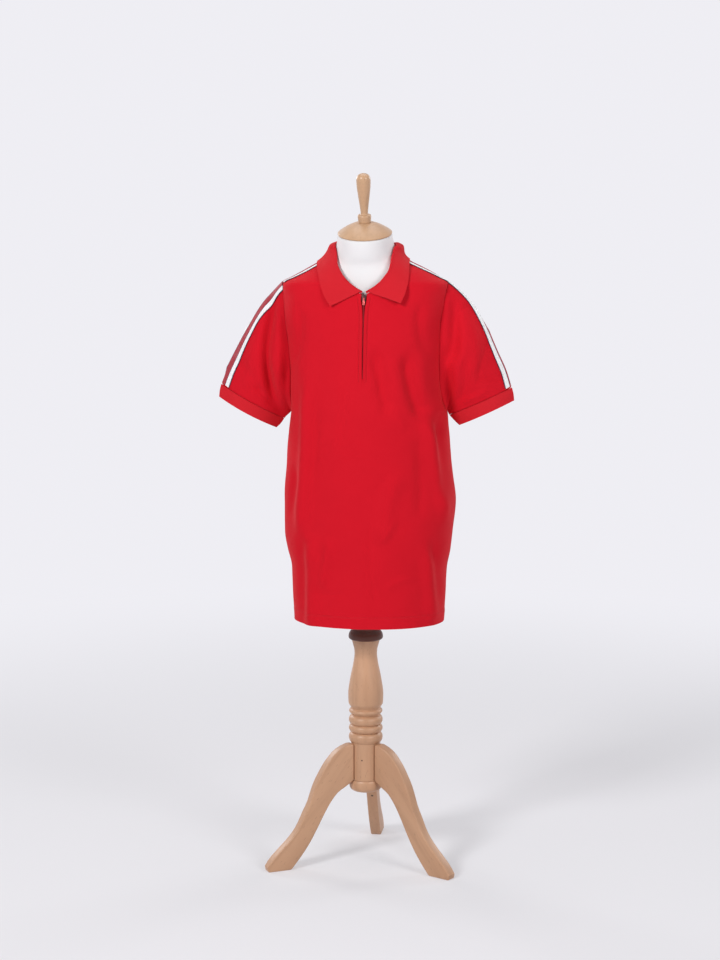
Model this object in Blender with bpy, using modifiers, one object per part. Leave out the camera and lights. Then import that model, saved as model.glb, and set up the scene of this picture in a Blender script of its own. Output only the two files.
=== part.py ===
"""Zip-neck polo shirt on a limbless dress form with a turned wooden stand.

Metres, +Z up. The front faces -Y, and the wearer's left is +X. The origin is on the floor, in the
middle of the footprint. Every shape is worked out about the column's axis, and the empty
"column_axis" that carries all the parts puts that axis at its place.

The cloth is a wall between two skins. Each cloth piece is a function of two numbers, which gives a
point on its outer skin, and the inner skin lies one thickness further in.
"""

import math
from collections import namedtuple

import bmesh
import bpy
from mathutils import Matrix, Vector

# ---------------------------------------------------------------- driving dimensions

AXIS_Y = -0.044           # column axis, so that the origin is in the middle of the footprint
CENTRE_X = 0.006          # the shirt hangs a little to the wearer's left of the axis
SEAM_GAP = 0.0004         # between two pieces that are sewn together
CLOTH = 0.0017            # pique knit
RIB = 0.0020              # ribbed collar and cuffs

HEM_Z = 0.482
UNDERARM_Z = 0.885
SHOULDER_TIP_Z = 1.127    # where shoulder seam, armhole and sleeve head meet
NECK_SIDE_Z = 1.177       # where shoulder seam and neckline meet
NECK_SIDE_X = 0.0695
NECK_FRONT_Z = 1.108
NECK_BACK_Z = 1.160

ZIP_END_Z = 0.952
ZIP_TAPE_WIDTH = 0.028
ZIP_TAPE_END_Z = 0.944

TAPE_WIDTH = 0.036
TAPE_THICKNESS = 0.0010
TAPE_CLEAR = 0.0007
TAPE_OUT = TAPE_CLEAR + TAPE_THICKNESS

LEAN = math.radians(15.0)  # the neck and its cap lean forward

FRONT_COLUMNS = 22
BACK_COLUMNS = 18
BODY_ROWS_BELOW = 12      # hem to underarm
ARMHOLE_ROWS = 10         # underarm to shoulder tip, and as many again round the sleeve's other half
SHOULDER_ROWS = 4         # shoulder tip to neckline
SLEEVE_ROWS = 12


# ---------------------------------------------------------------- smooth tables

def slopes(keys, values):
    """Slopes for a smooth curve through the values that never overshoots them."""
    steps = [(values[i + 1] - values[i]) / (keys[i + 1] - keys[i]) for i in range(len(keys) - 1)]
    inner = [0.0 if a * b <= 0 else 2 * a * b / (a + b) for a, b in zip(steps, steps[1:])]
    return [steps[0], *inner, steps[-1]]


def hermite(t, a, b, slope_a, slope_b, width):
    return (
        (1 + 2 * t) * (1 - t) ** 2 * a
        + t * (1 - t) ** 2 * width * slope_a
        + t * t * (3 - 2 * t) * b
        + t * t * (t - 1) * width * slope_b
    )


def smooth_table(rows):
    """A function of the first column that gives a whole row, each column smoothly interpolated."""
    keys = [row[0] for row in rows]
    columns = list(zip(*rows))
    column_slopes = [slopes(keys, column) for column in columns]

    def row_at(key):
        key = min(max(key, keys[0]), keys[-1])
        i = max(n for n in range(len(keys) - 1) if keys[n] <= key)
        width = keys[i + 1] - keys[i]
        t = (key - keys[i]) / width
        return type(rows[0])(*(
            hermite(t, column[i], column[i + 1], slope[i], slope[i + 1], width)
            for column, slope in zip(columns, column_slopes)
        ))

    return row_at


def smoothstep(t):
    t = min(max(t, 0.0), 1.0)
    return t * t * (3 - 2 * t)


def mix(a, b, t):
    return a + (b - a) * t


# ---------------------------------------------------------------- the body of the shirt

# Level sections from the hem up. left and right are the side edges of the two panels (below the
# underarm the side seams, then the armholes, then the shoulder seams). front and back are the
# depths at the middle. power rounds the section (0.45 is a full oval, 0.7 falls away more evenly).
Section = namedtuple("Section", "z left right front back power")
body_section = smooth_table([
    Section(0.482, -0.1375, 0.1510, 0.113, 0.106, 0.47),
    Section(0.505, -0.1390, 0.1525, 0.113, 0.106, 0.47),
    Section(0.536, -0.1405, 0.1540, 0.113, 0.106, 0.47),
    Section(0.583, -0.1420, 0.1560, 0.114, 0.106, 0.46),
    Section(0.618, -0.1500, 0.1625, 0.116, 0.106, 0.46),
    Section(0.653, -0.1555, 0.1665, 0.117, 0.106, 0.46),
    Section(0.711, -0.1560, 0.1720, 0.118, 0.105, 0.46),
    Section(0.792, -0.1507, 0.1635, 0.120, 0.105, 0.46),
    Section(0.850, -0.1466, 0.1590, 0.121, 0.107, 0.46),
    Section(0.885, -0.1420, 0.1550, 0.121, 0.109, 0.47),
    Section(0.905, -0.1400, 0.1480, 0.120, 0.110, 0.50),
    Section(0.950, -0.1390, 0.1425, 0.118, 0.111, 0.56),
    Section(1.000, -0.1410, 0.1420, 0.113, 0.110, 0.62),
    Section(1.050, -0.1480, 0.1440, 0.105, 0.105, 0.66),
    Section(1.090, -0.1525, 0.1495, 0.095, 0.098, 0.62),
    Section(1.112, -0.1550, 0.1535, 0.088, 0.092, 0.57),
    Section(1.127, -0.1570, 0.1565, 0.082, 0.086, 0.52),
    Section(1.136, -0.1410, 0.1420, 0.077, 0.081, 0.50),
    Section(1.146, -0.1225, 0.1255, 0.071, 0.076, 0.50),
    Section(1.156, -0.1050, 0.1060, 0.064, 0.070, 0.50),
    Section(1.166, -0.0870, 0.0855, 0.057, 0.064, 0.50),
    Section(1.177, -0.0700, 0.0695, 0.050, 0.057, 0.50),
])
ARMHOLE_DEPTH = 0.042     # how far the armhole runs out in front of and behind the seam line
VENT_TOP_Z = 0.506        # the side seams stay open below this
VENT_SPREAD = 0.004

# The largest folds, as lines in the front or back view that run from (x0, z0) to (x1, z1) and bow
# sideways by bow. height is how far a ridge stands out (a trough is below zero), over half a width.
Fold = namedtuple("Fold", "x0 z0 x1 z1 bow height width")
FRONT_FOLDS = [
    Fold(-0.100, 0.932, -0.117, 0.659, 0.004, 0.007, 0.013),
    Fold(-0.093, 0.640, -0.094, 0.478, 0.000, 0.008, 0.010),
    Fold(-0.113, 0.660, -0.108, 0.490, 0.003, -0.007, 0.010),
    Fold(0.1217, 0.870, 0.158, 0.690, 0.004, 0.008, 0.012),
    Fold(0.144, 0.870, 0.154, 0.730, -0.002, -0.008, 0.009),
    Fold(0.1265, 0.620, 0.1363, 0.490, 0.000, 0.007, 0.012),
    Fold(0.0286, 1.002, 0.050, 0.890, 0.004, -0.004, 0.014),
    Fold(0.088, 0.990, 0.116, 0.880, -0.004, -0.006, 0.014),
    Fold(0.068, 0.770, 0.042, 0.650, -0.003, 0.004, 0.016),
    Fold(-0.056, 0.645, -0.073, 0.560, 0.000, 0.004, 0.014),
]
BACK_FOLDS = [
    Fold(-0.060, 0.960, -0.085, 0.590, 0.006, -0.007, 0.020),
    Fold(0.050, 0.940, 0.072, 0.500, -0.006, -0.007, 0.020),
    Fold(0.000, 0.930, 0.010, 0.490, 0.004, 0.005, 0.026),
    Fold(-0.112, 0.860, -0.113, 0.500, 0.004, 0.007, 0.015),
    Fold(0.112, 0.850, 0.120, 0.490, -0.003, 0.007, 0.015),
]

ROUNDNESS = 2.15          # how square a level section of the body is (2 is an ellipse)
SLEEVE_CLEAR = 0.0010     # between a sleeve and the side of the body
FOLD_SHARPNESS = 1.9      # how flat the sleeves lie (1 is an oval tube, 2 has a sharp fold on top)

# Width of the slit at the zip, which the slider holds apart at the top.
Slit = namedtuple("Slit", "z width")
slit_at = smooth_table([
    Slit(0.952, 0.0012),
    Slit(1.055, 0.0022),
    Slit(1.084, 0.0050),
    Slit(1.096, 0.0098),
    Slit(1.108, 0.0104),
])


def fold_height(folds, x, z):
    """How far the folds push the cloth out at this place in the front or back view."""
    total = 0.0
    for fold in folds:
        along = Vector((fold.x1 - fold.x0, fold.z1 - fold.z0))
        here = Vector((x - fold.x0, z - fold.z0))
        t = here.dot(along) / along.length_squared
        side = (along.x * here.y - along.y * here.x) / along.length
        side -= fold.bow * 4 * t * (1 - t)
        fade = smoothstep((t + 0.18) / 0.36) * smoothstep((1.18 - t) / 0.36)
        total += fold.height * fade * math.exp(-((side / fold.width) ** 2))
    return total


def armhole_height(turn):
    """Height on the armhole, whose side view is an oval: turn 0 is its top, half a turn its foot."""
    middle = (SHOULDER_TIP_Z + UNDERARM_Z) / 2
    half = (SHOULDER_TIP_Z - UNDERARM_Z) / 2
    return middle + half * math.cos(turn)


def edge_depth(z):
    """How far in front of the seam line the front panel's edge runs (and the back panel's behind)."""
    if UNDERARM_Z < z < SHOULDER_TIP_Z:
        up = (z - UNDERARM_Z) / (SHOULDER_TIP_Z - UNDERARM_Z)
        return ARMHOLE_DEPTH * math.sqrt(4 * up * (1 - up))
    return VENT_SPREAD * max(0.0, (VENT_TOP_Z - z) / (VENT_TOP_Z - HEM_Z)) ** 2


def body_point(across, z, front, out=0.0):
    """A point of the shirt's body: across runs from -1 at one edge to 1 at the other."""
    row = body_section(z)
    middle = (row.left + row.right) / 2
    half = (row.right - row.left) / 2
    across = min(max(across, -1.0), 1.0)
    x = middle + half * across
    depth = row.front if front else row.back
    bulge = max(1 - abs(across) ** ROUNDNESS, 0.0) ** row.power
    edge = edge_depth(z)
    y = edge + (depth - edge) * bulge
    folds = FRONT_FOLDS if front else BACK_FOLDS
    push = out + fold_height(folds, x, z) * (1 - abs(across) ** 10)
    facing = Vector((across / half, max(bulge, 0.02) / depth)).normalized()
    x += facing.x * push
    y += facing.y * push
    return Vector((x, -y if front else y, z))


def neckline(u, front):
    """The neckline at u, from -1 at one shoulder seam through the middle to 1 at the other."""
    turn = abs(u) * math.pi / 2
    lowest = NECK_FRONT_Z if front else NECK_BACK_Z
    middle = CENTRE_X if front else 0.0
    x = mix(middle, math.copysign(NECK_SIDE_X, u), math.sin(turn))
    return x, mix(lowest, NECK_SIDE_Z, (1 - math.cos(turn)) ** (0.62 if front else 0.9))


ARMHOLE_END = 0.70        # where the edge turns from armhole to shoulder seam, as edge_height's w


def edge_height(w):
    """Height of a panel's side edge, w from 0 at the underarm to 1 at the neck.

    Its steps up the armhole are those of a sleeve's ring, so that the two edges share points.
    """
    if w < ARMHOLE_END:
        return armhole_height(math.pi * (1 - w / ARMHOLE_END))
    return mix(SHOULDER_TIP_Z, NECK_SIDE_Z, (w - ARMHOLE_END) / (1 - ARMHOLE_END))


def panel_place(u, v, front):
    """The across value and the height of a panel's point, v from 0 at the hem to 2 at the neck."""
    level = math.sin(u * math.pi / 2)
    if v <= 1:
        return level, mix(HEM_Z, UNDERARM_Z, v)
    w = v - 1
    x_neck, z_neck = neckline(u, front)
    row = body_section(z_neck)
    at_neck = (x_neck - (row.left + row.right) / 2) / ((row.right - row.left) / 2)
    z = mix(mix(UNDERARM_Z, z_neck, w), edge_height(w), abs(u) ** 3)
    return mix(level, at_neck, w ** 1.5), z


def panel_point(u, v, front):
    across, z = panel_place(u, v, front)
    return body_point(across, z, front)


def on_front(x, z, out):
    """A point over the shirt's front at this x and z."""
    row = body_section(z)
    return body_point((x - (row.left + row.right) / 2) / ((row.right - row.left) / 2), z, True, out)


# ---------------------------------------------------------------- sleeves

# From the armhole (s 0) to the cuff seam (s 1): the fold line on top, the underarm line, and the
# depths in front and behind.
Sleeve = namedtuple("Sleeve", "s top_x top_z low_x low_z front back")
SLEEVES = {
    "right": smooth_table([
        Sleeve(0.00, -0.1570, 1.1270, -0.1420, 0.8850, 0.043, 0.043),
        Sleeve(0.12, -0.1755, 1.1090, -0.1425, 0.8835, 0.048, 0.046),
        Sleeve(0.28, -0.1975, 1.0862, -0.1435, 0.8815, 0.050, 0.046),
        Sleeve(0.50, -0.2245, 1.0455, -0.1455, 0.8790, 0.044, 0.042),
        Sleeve(0.72, -0.2500, 0.9990, -0.1485, 0.8760, 0.036, 0.036),
        Sleeve(0.88, -0.2675, 0.9610, -0.1525, 0.8725, 0.031, 0.031),
        Sleeve(1.00, -0.2775, 0.9322, -0.1568, 0.8675, 0.027, 0.028),
    ]),
    "left": smooth_table([
        Sleeve(0.00, 0.1560, 1.1270, 0.1540, 0.8850, 0.043, 0.043),
        Sleeve(0.12, 0.1735, 1.1140, 0.1542, 0.8850, 0.048, 0.046),
        Sleeve(0.28, 0.1990, 1.0910, 0.1546, 0.8848, 0.050, 0.046),
        Sleeve(0.50, 0.2280, 1.0450, 0.1552, 0.8840, 0.045, 0.042),
        Sleeve(0.72, 0.2495, 0.9985, 0.1562, 0.8832, 0.037, 0.036),
        Sleeve(0.88, 0.2670, 0.9610, 0.1575, 0.8810, 0.031, 0.031),
        Sleeve(1.00, 0.2765, 0.9310, 0.1592, 0.8775, 0.027, 0.028),
    ]),
}
SIGN = {"right": -1, "left": 1}

# The cuffs, from the seam (s 0) to the edge (s 1).
CUFFS = {
    "right": smooth_table([
        Sleeve(0.0, -0.2787, 0.9317, -0.1572, 0.8669, 0.0275, 0.0285),
        Sleeve(0.5, -0.2818, 0.9200, -0.1640, 0.8572, 0.0265, 0.0270),
        Sleeve(1.0, -0.2832, 0.9076, -0.1722, 0.8494, 0.0250, 0.0255),
    ]),
    "left": smooth_table([
        Sleeve(0.0, 0.2775, 0.9305, 0.1598, 0.8768, 0.0275, 0.0285),
        Sleeve(0.5, 0.2805, 0.9185, 0.1690, 0.8668, 0.0265, 0.0270),
        Sleeve(1.0, 0.2820, 0.9062, 0.1783, 0.8580, 0.0250, 0.0255),
    ]),
}

SLEEVE_FOLDS = {
    "right": [Fold(-0.165, 1.100, -0.156, 0.890, 0.024, -0.008, 0.010)],
    "left": [
        Fold(0.1726, 1.075, 0.173, 0.985, -0.007, -0.006, 0.010),
        Fold(0.158, 1.060, 0.160, 0.900, -0.004, -0.006, 0.008),
    ],
}


def oval(row, turn, push=0.0):
    """A point of a sleeve's section: turn 0 is the top line, a quarter turn the front."""
    top = Vector((row.top_x, 0, row.top_z))
    low = Vector((row.low_x, 0, row.low_z))
    half = (top - low) / 2
    depth = row.front if math.sin(turn) > 0 else row.back
    bulge = math.copysign(abs(math.sin(turn)) ** FOLD_SHARPNESS, math.sin(turn))
    point = (top + low) / 2 + half * math.cos(turn) + Vector((0, -depth * bulge, 0))
    out = half.normalized() * (math.cos(turn) / half.length) + Vector((0, -math.sin(turn) / depth, 0))
    return point + out.normalized() * push


def armhole_point(side, turn):
    """The armhole's edge at this turn, on the front panel or on the back one."""
    return body_point(SIGN[side], armhole_height(turn), math.sin(turn) > 0)


def body_side(side, y, z):
    """How far out in X the body's outer skin lies at this depth and height, on one side."""
    row = body_section(z)
    depth = row.front if y < 0 else row.back
    edge = edge_depth(z)
    bulge = (abs(y) - edge) / (depth - edge)
    if not 0 < bulge < 1:
        return row.right if side == "left" else row.left
    across = (1 - bulge ** (1 / row.power)) ** (1 / ROUNDNESS)
    return (row.left + row.right) / 2 + SIGN[side] * across * (row.right - row.left) / 2


def sleeve_point(side, s, turn, out=0.0):
    row = SLEEVES[side](s)
    plain = oval(row, turn)
    push = out
    if math.sin(turn) > 0:
        push += fold_height(SLEEVE_FOLDS[side], plain.x, plain.z) * math.sin(turn) * smoothstep(s / 0.2)
    point = oval(row, turn, push)
    to_armhole = armhole_point(side, turn) - oval(SLEEVES[side](0.0), turn)
    point += to_armhole * (1 - smoothstep(s / 0.35))
    beside = abs(body_side(side, point.y, point.z)) + SLEEVE_CLEAR * smoothstep(s / 0.1)
    if abs(point.x) < beside:
        point.x = SIGN[side] * beside
    return point


def cuff_point(side, s, turn):
    return oval(CUFFS[side](s), turn)


# ---------------------------------------------------------------- collar

# From the middle of the back (t 0) past the shoulder seam (t 0.45) to the front end (t 1): how
# high the stand rises from the neckline, how far it leans in, and the outer edge of the leaf.
Collar = namedtuple("Collar", "t rise lean_in edge_x edge_y edge_z")
COLLARS = {
    "right": smooth_table([
        Collar(0.00, 0.0400, -0.002, 0.0000, 0.0900, 1.1500),
        Collar(0.24, 0.0340, 0.001, -0.0600, 0.0680, 1.1560),
        Collar(0.45, 0.0232, 0.0088, -0.0905, 0.0040, 1.1650),
        Collar(0.60, 0.0120, 0.003, -0.0880, -0.0330, 1.1560),
        Collar(0.76, 0.0080, 0.000, -0.0800, -0.0660, 1.1330),
        Collar(0.90, 0.0055, 0.001, -0.0690, -0.0880, 1.1060),
        Collar(1.00, 0.0045, 0.001, -0.0560, -0.0985, 1.0870),
    ]),
    "left": smooth_table([
        Collar(0.00, 0.0400, -0.002, 0.0000, 0.0900, 1.1500),
        Collar(0.24, 0.0325, 0.004, 0.0560, 0.0680, 1.1560),
        Collar(0.45, 0.0220, 0.0094, 0.0805, 0.0040, 1.1690),
        Collar(0.60, 0.0130, -0.001, 0.0845, -0.0330, 1.1590),
        Collar(0.76, 0.0090, -0.004, 0.0865, -0.0640, 1.1370),
        Collar(0.90, 0.0060, -0.003, 0.0825, -0.0860, 1.1120),
        Collar(1.00, 0.0045, 0.000, 0.0745, -0.0965, 1.0930),
    ]),
}
COLLAR_SHOULDER = 0.45    # t at the shoulder seam
COLLAR_END = 0.07         # how far the collar stops short of the middle, as the neckline's u
ROLL_RADIUS = 0.0026
LEAF_BOW = 0.0006
LEAF_CLEAR = RIB / 2 + 0.0013


def clear_of_body(point, clearance):
    """The point, moved out of the shirt's body if it is nearer than clearance to its outer skin."""

    def inside(x, y, z):
        row = body_section(z)
        half = (row.right - row.left) / 2
        depth = row.front if y < 0 else row.back
        across = abs(x - (row.left + row.right) / 2) / half
        edge = edge_depth(z)
        deep = max((abs(y) - edge) / (depth - edge), 0.0)
        return 1 - across ** ROUNDNESS - deep ** (1 / row.power)

    step = 2e-4
    for _ in range(6):
        here = inside(*point)
        slope = Vector([
            (inside(*(point + shift)) - inside(*(point - shift))) / (2 * step)
            for shift in (Vector((step, 0, 0)), Vector((0, step, 0)), Vector((0, 0, step)))
        ])
        away = -here / slope.length
        if away >= clearance:
            break
        point = point - slope.normalized() * (clearance - away)
    return point


def collar_seam(t):
    """The neckline just above the panels, t from -1 to 1 round the back."""
    if abs(t) < COLLAR_SHOULDER:
        u, front = abs(t) / COLLAR_SHOULDER, False
    else:
        u, front = mix(1.0, COLLAR_END, (abs(t) - COLLAR_SHOULDER) / (1 - COLLAR_SHOULDER)), True
    return panel_point(math.copysign(u, t), 2.0, front) + Vector((0, 0, SEAM_GAP + 0.0003))


def collar_profile(t):
    """Mid-line of the collar's section at t, from -1 at the right front end to 1 at the left."""
    row = COLLARS["right" if t < 0 else "left"](abs(t))
    seam = collar_seam(t)
    edge = Vector((row.edge_x, row.edge_y, row.edge_z))
    out = Vector((edge.x - seam.x, edge.y - seam.y, 0)).normalized()
    seam -= out * RIB / 2
    roll = seam - out * row.lean_in + Vector((0, 0, row.rise))
    inner = roll - out * ROLL_RADIUS - Vector((0, 0, ROLL_RADIUS))
    outer = roll + out * ROLL_RADIUS - Vector((0, 0, ROLL_RADIUS))
    over_tape = smoothstep((0.040 - abs(edge.y)) / 0.016)
    clearance = LEAF_CLEAR + TAPE_OUT * over_tape
    leaf = []
    for along, lift in ((0.25, 0.75), (0.50, 1.0), (0.75, 0.75), (1.0, 0.0)):
        point = outer.lerp(edge, along) + (Vector((0, 0, 1)) + out) * LEAF_BOW * lift
        leaf.append(clear_of_body(point, clearance))
    return [seam, seam.lerp(inner, 0.5), inner, roll, clear_of_body(outer, LEAF_CLEAR), *leaf]


# ---------------------------------------------------------------- building cloth

def surface_normal(surface, u, v, u_range, v_range, step=1e-3):
    """Normal of a surface function, taken inside its range at the edges."""
    u0, u1 = max(u - step, u_range[0]), min(u + step, u_range[1])
    v0, v1 = max(v - step, v_range[0]), min(v + step, v_range[1])
    along_u = surface(u1, v) - surface(u0, v)
    along_v = surface(u, v1) - surface(u, v0)
    return along_u.cross(along_v).normalized()


def cloth_mesh(name, outer, normals, thickness, wraps=False, missing=()):
    """A closed wall: the grid of outer points, and inner points one thickness further in.

    missing lists the (row, column) cells that are left open.
    """
    rows, columns = len(outer), len(outer[0])
    shape = bmesh.new()
    skins = []
    for depth in (0.0, thickness):
        skins.append([
            [shape.verts.new(p - n * depth) for p, n in zip(points, row_normals)]
            for points, row_normals in zip(outer, normals)
        ])
    cells = [
        (i, j) for i in range(rows - 1) for j in range(columns if wraps else columns - 1)
        if (i, j) not in missing
    ]
    borders = {}
    for i, j in cells:
        corners = [(i, j), (i, (j + 1) % columns), (i + 1, (j + 1) % columns), (i + 1, j)]
        shape.faces.new([skins[0][a][b] for a, b in corners])
        shape.faces.new([skins[1][a][b] for a, b in reversed(corners)])
        for start, end in zip(corners, corners[1:] + corners[:1]):
            if (end, start) in borders:
                del borders[(end, start)]
            else:
                borders[(start, end)] = True
    for (a, b), (c, d) in borders:
        shape.faces.new([skins[0][c][d], skins[0][a][b], skins[1][a][b], skins[1][c][d]])
    used = {vert for face in shape.faces for vert in face.verts}
    for vert in [vert for vert in shape.verts if vert not in used]:
        shape.verts.remove(vert)
    bmesh.ops.recalc_face_normals(shape, faces=shape.faces)
    mesh = bpy.data.meshes.new(name)
    shape.to_mesh(mesh)
    shape.free()
    return mesh


def sewn_grid(surface, us, vs, u_range=(-1, 1), v_range=(0, 2), flip=False):
    """Points and normals of a surface function on a grid, its normals turned round if flip."""
    points = [[surface(u, v) for u in us] for v in vs]
    sign = -1 if flip else 1
    normals = [
        [surface_normal(surface, u, v, u_range, v_range) * sign for u in us] for v in vs
    ]
    return points, normals


def spread(start, end, count):
    return [mix(start, end, i / count) for i in range(count + 1)]


# ---------------------------------------------------------------- scene, materials

def clear_scene():
    for obj in list(bpy.data.objects):
        bpy.data.objects.remove(obj, do_unlink=True)


def new_collection(name):
    collection = bpy.data.collections.new(name)
    bpy.context.scene.collection.children.link(collection)
    return collection


def material(name, colour, roughness, metallic=0.0):
    made = bpy.data.materials.new(name)
    made.use_nodes = True
    shader = made.node_tree.nodes["Principled BSDF"]
    shader.inputs["Base Color"].default_value = (*colour, 1)
    shader.inputs["Roughness"].default_value = roughness
    shader.inputs["Metallic"].default_value = metallic
    return made


clear_scene()
PARTS = new_collection("polo_shirt_on_form")
CUTTERS = new_collection("cutters")
AXIS = bpy.data.objects.new("column_axis", None)
AXIS.location = (0, AXIS_Y, 0)
PARTS.objects.link(AXIS)

RED = (0.62, 0.018, 0.030)
DULL_RED = (0.38, 0.045, 0.055)
MATERIALS = {
    "pique": material("red_pique", RED, 0.88),
    "rib": material("red_rib", (0.60, 0.030, 0.038), 0.90),
    "tape": material("striped_tape", DULL_RED, 0.75),
    "zip_tape": material("zip_tape", (0.05, 0.01, 0.02), 0.85),
    "zip_metal": material("zip_metal", (0.20, 0.19, 0.18), 0.35, 1.0),
    "jersey": material("white_jersey", (0.82, 0.81, 0.80), 0.92),
    "beech": material("beech", (0.52, 0.31, 0.19), 0.45),
    "cap_wood": material("cap_wood", (0.62, 0.40, 0.22), 0.40),
}


def add_part(name, mesh, finish, smooth_angle=50):
    obj = bpy.data.objects.new(name, mesh)
    PARTS.objects.link(obj)
    obj.parent = AXIS
    obj.data.materials.append(MATERIALS[finish])
    if isinstance(mesh, bpy.types.Mesh):
        mesh.shade_smooth()
        mesh.set_sharp_from_angle(angle=math.radians(smooth_angle))
    return obj


def add_cutter(name, mesh):
    obj = bpy.data.objects.new(name, mesh)
    CUTTERS.objects.link(obj)
    obj.hide_render = True
    obj.display_type = "WIRE"
    obj.parent = AXIS
    return obj


def boolean(obj, other, operation):
    made = obj.modifiers.new(operation.lower() + "_" + other.name, "BOOLEAN")
    made.operation = operation
    made.object = other
    made.solver = "EXACT"


# ---------------------------------------------------------------- shirt panels

def panel_rows():
    below = spread(0, 1, BODY_ROWS_BELOW)[:-1]
    beside_sleeve = spread(1, 1 + ARMHOLE_END, ARMHOLE_ROWS)[:-1]
    return below + beside_sleeve + spread(1 + ARMHOLE_END, 2, SHOULDER_ROWS)


def trim_to_seams(points, front):
    """Moves a panel's edges half a gap off the line that it shares with its neighbour."""
    step = SEAM_GAP / 2
    for row in points:
        for point in (row[0], row[-1]):
            point.y += -step if front else step


def shirt_front():
    half = spread(0, 1, FRONT_COLUMNS // 2)
    us = [-u for u in reversed(half)] + half
    vs = panel_rows()
    points, normals = sewn_grid(lambda u, v: panel_point(u, v, True), us, vs)
    middle = FRONT_COLUMNS // 2
    for row in points:
        z = row[middle].z
        centre = mix(row[middle].x, CENTRE_X, smoothstep((z - 0.80) / 0.12))
        slit = slit_at(z).width / 2
        row[middle].x = centre - slit
        row[middle + 1].x = centre + slit
    trim_to_seams(points, True)
    slit_cells = {
        (i, middle) for i in range(len(points) - 1) if points[i][middle].z > ZIP_END_Z - 0.012
    }
    mesh = cloth_mesh("shirt_front", points, normals, CLOTH, missing=slit_cells)
    return add_part("shirt_front", mesh, "pique")


def shirt_back():
    us = spread(-1, 1, BACK_COLUMNS)
    vs = panel_rows()
    points, normals = sewn_grid(lambda u, v: panel_point(u, v, False), us, vs, flip=True)
    trim_to_seams(points, False)
    return add_part("shirt_back", cloth_mesh("shirt_back", points, normals, CLOTH), "pique")


def sleeve(side):
    turns = spread(0, 2 * math.pi, 2 * ARMHOLE_ROWS)[:-1]
    flip = side == "right"
    points, normals = sewn_grid(
        lambda turn, s: sleeve_point(side, s, turn), turns, spread(0, 1, SLEEVE_ROWS),
        u_range=(-1, 7), v_range=(0, 1), flip=flip,
    )
    for point in points[0]:
        point.x += SIGN[side] * SEAM_GAP
    mesh = cloth_mesh("sleeve_" + side, points, normals, CLOTH, wraps=True)
    return add_part("sleeve_" + side, mesh, "pique")


def cuff(side):
    turns = spread(0, 2 * math.pi, 2 * ARMHOLE_ROWS)[:-1]
    points, normals = sewn_grid(
        lambda turn, s: cuff_point(side, s, turn), turns, spread(0, 1, 2),
        u_range=(-1, 7), v_range=(0, 1), flip=side == "right",
    )
    mesh = cloth_mesh("cuff_" + side, points, normals, RIB, wraps=True)
    return add_part("cuff_" + side, mesh, "rib")


def collar():
    ts = spread(-1, 1, 30)
    profiles = [collar_profile(t) for t in ts]
    count = len(profiles[0])
    normals = []
    for i, profile in enumerate(profiles):
        before, after = profiles[max(i - 1, 0)], profiles[min(i + 1, len(profiles) - 1)]
        row = []
        for k in range(count):
            along = after[k] - before[k]
            across = profile[min(k + 1, count - 1)] - profile[max(k - 1, 0)]
            row.append(along.cross(across).normalized())
        normals.append(row)
    outer = [[p + n * RIB / 2 for p, n in zip(*rows)] for rows in zip(profiles, normals)]
    return add_part("collar", cloth_mesh("collar", outer, normals, RIB), "rib")


# ---------------------------------------------------------------- striped tape

def shoulder_point(side, z, turn):
    """The body near its shoulder seam: turn 0 is the seam, above zero is in front of it."""
    return body_point(SIGN[side] * math.cos(turn), z, turn >= 0)


def lifted(surface, place, turn, height):
    """A point of a surface function moved out along its normal, here always upwards."""
    step = 1e-3
    along = surface(place + step, turn) - surface(place - step, turn)
    across = surface(place, turn + step) - surface(place, turn - step)
    normal = along.cross(across).normalized()
    if normal.z < 0:
        normal.negate()
    return surface(place, turn) + normal * height, normal


def turn_after(surface, place, offset):
    """The turn at which the surface has run this far across from turn 0."""
    reach, turn = 0.0, 0.0
    step = math.copysign(0.004, offset)
    before = surface(place, turn)
    while reach < abs(offset):
        turn += step
        here = surface(place, turn)
        reach += (here - before).length
        before = here
    return turn - step * (reach - abs(offset)) / max((here - before).length, 1e-4) if turn else 0.0


# The tape's line from the neck (place 0) over the shoulder tip (1) to the cuff (2): how far its
# middle lies in front of the seam line. It stands a little higher off the cloth at the tip.
TapeLine = namedtuple("TapeLine", "place shift")
TIP_LIFT = 0.0006
FOLD_LIFT = 0.0008
TAPE_LINES = {
    "right": smooth_table([
        TapeLine(0.0, 0.0030), TapeLine(0.8, 0.0045), TapeLine(1.0, 0.0060), TapeLine(1.3, 0.0090),
        TapeLine(1.5, 0.0100), TapeLine(1.8, 0.0060), TapeLine(2.0, 0.0010),
    ]),
    "left": smooth_table([
        TapeLine(0.0, 0.0040), TapeLine(0.5, 0.0010), TapeLine(0.9, -0.0100), TapeLine(1.0, -0.0115),
        TapeLine(1.2, -0.0105), TapeLine(1.4, -0.0060), TapeLine(1.6, -0.0030), TapeLine(2.0, 0.0005),
    ]),
}
TAPE_START = 0.14         # under the edge of the collar


def tape_strip(name, surface, places, shifts, lift=0.0, fold_lift=0.0):
    """A strip over a surface function, one row of points for each place along it.

    lift raises its first rows and fold_lift the column of points that lies along turn 0.
    """
    points, normals = [], []
    for place, shift in zip(places, shifts):
        height = TAPE_OUT + lift * (1 - smoothstep(place / 0.18))
        start, end = shift - TAPE_WIDTH / 2, shift + TAPE_WIDTH / 2
        row = [
            lifted(
                surface, place, turn_after(surface, place, offset),
                height + (0 if offset else fold_lift),
            )
            for offset in (start, start / 2, start / 6, 0.0, end / 6, end / 2, end)
        ]
        points.append([point for point, _ in row])
        normals.append([normal for _, normal in row])
    return add_part(name, cloth_mesh(name, points, normals, TAPE_THICKNESS), "tape")


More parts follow.
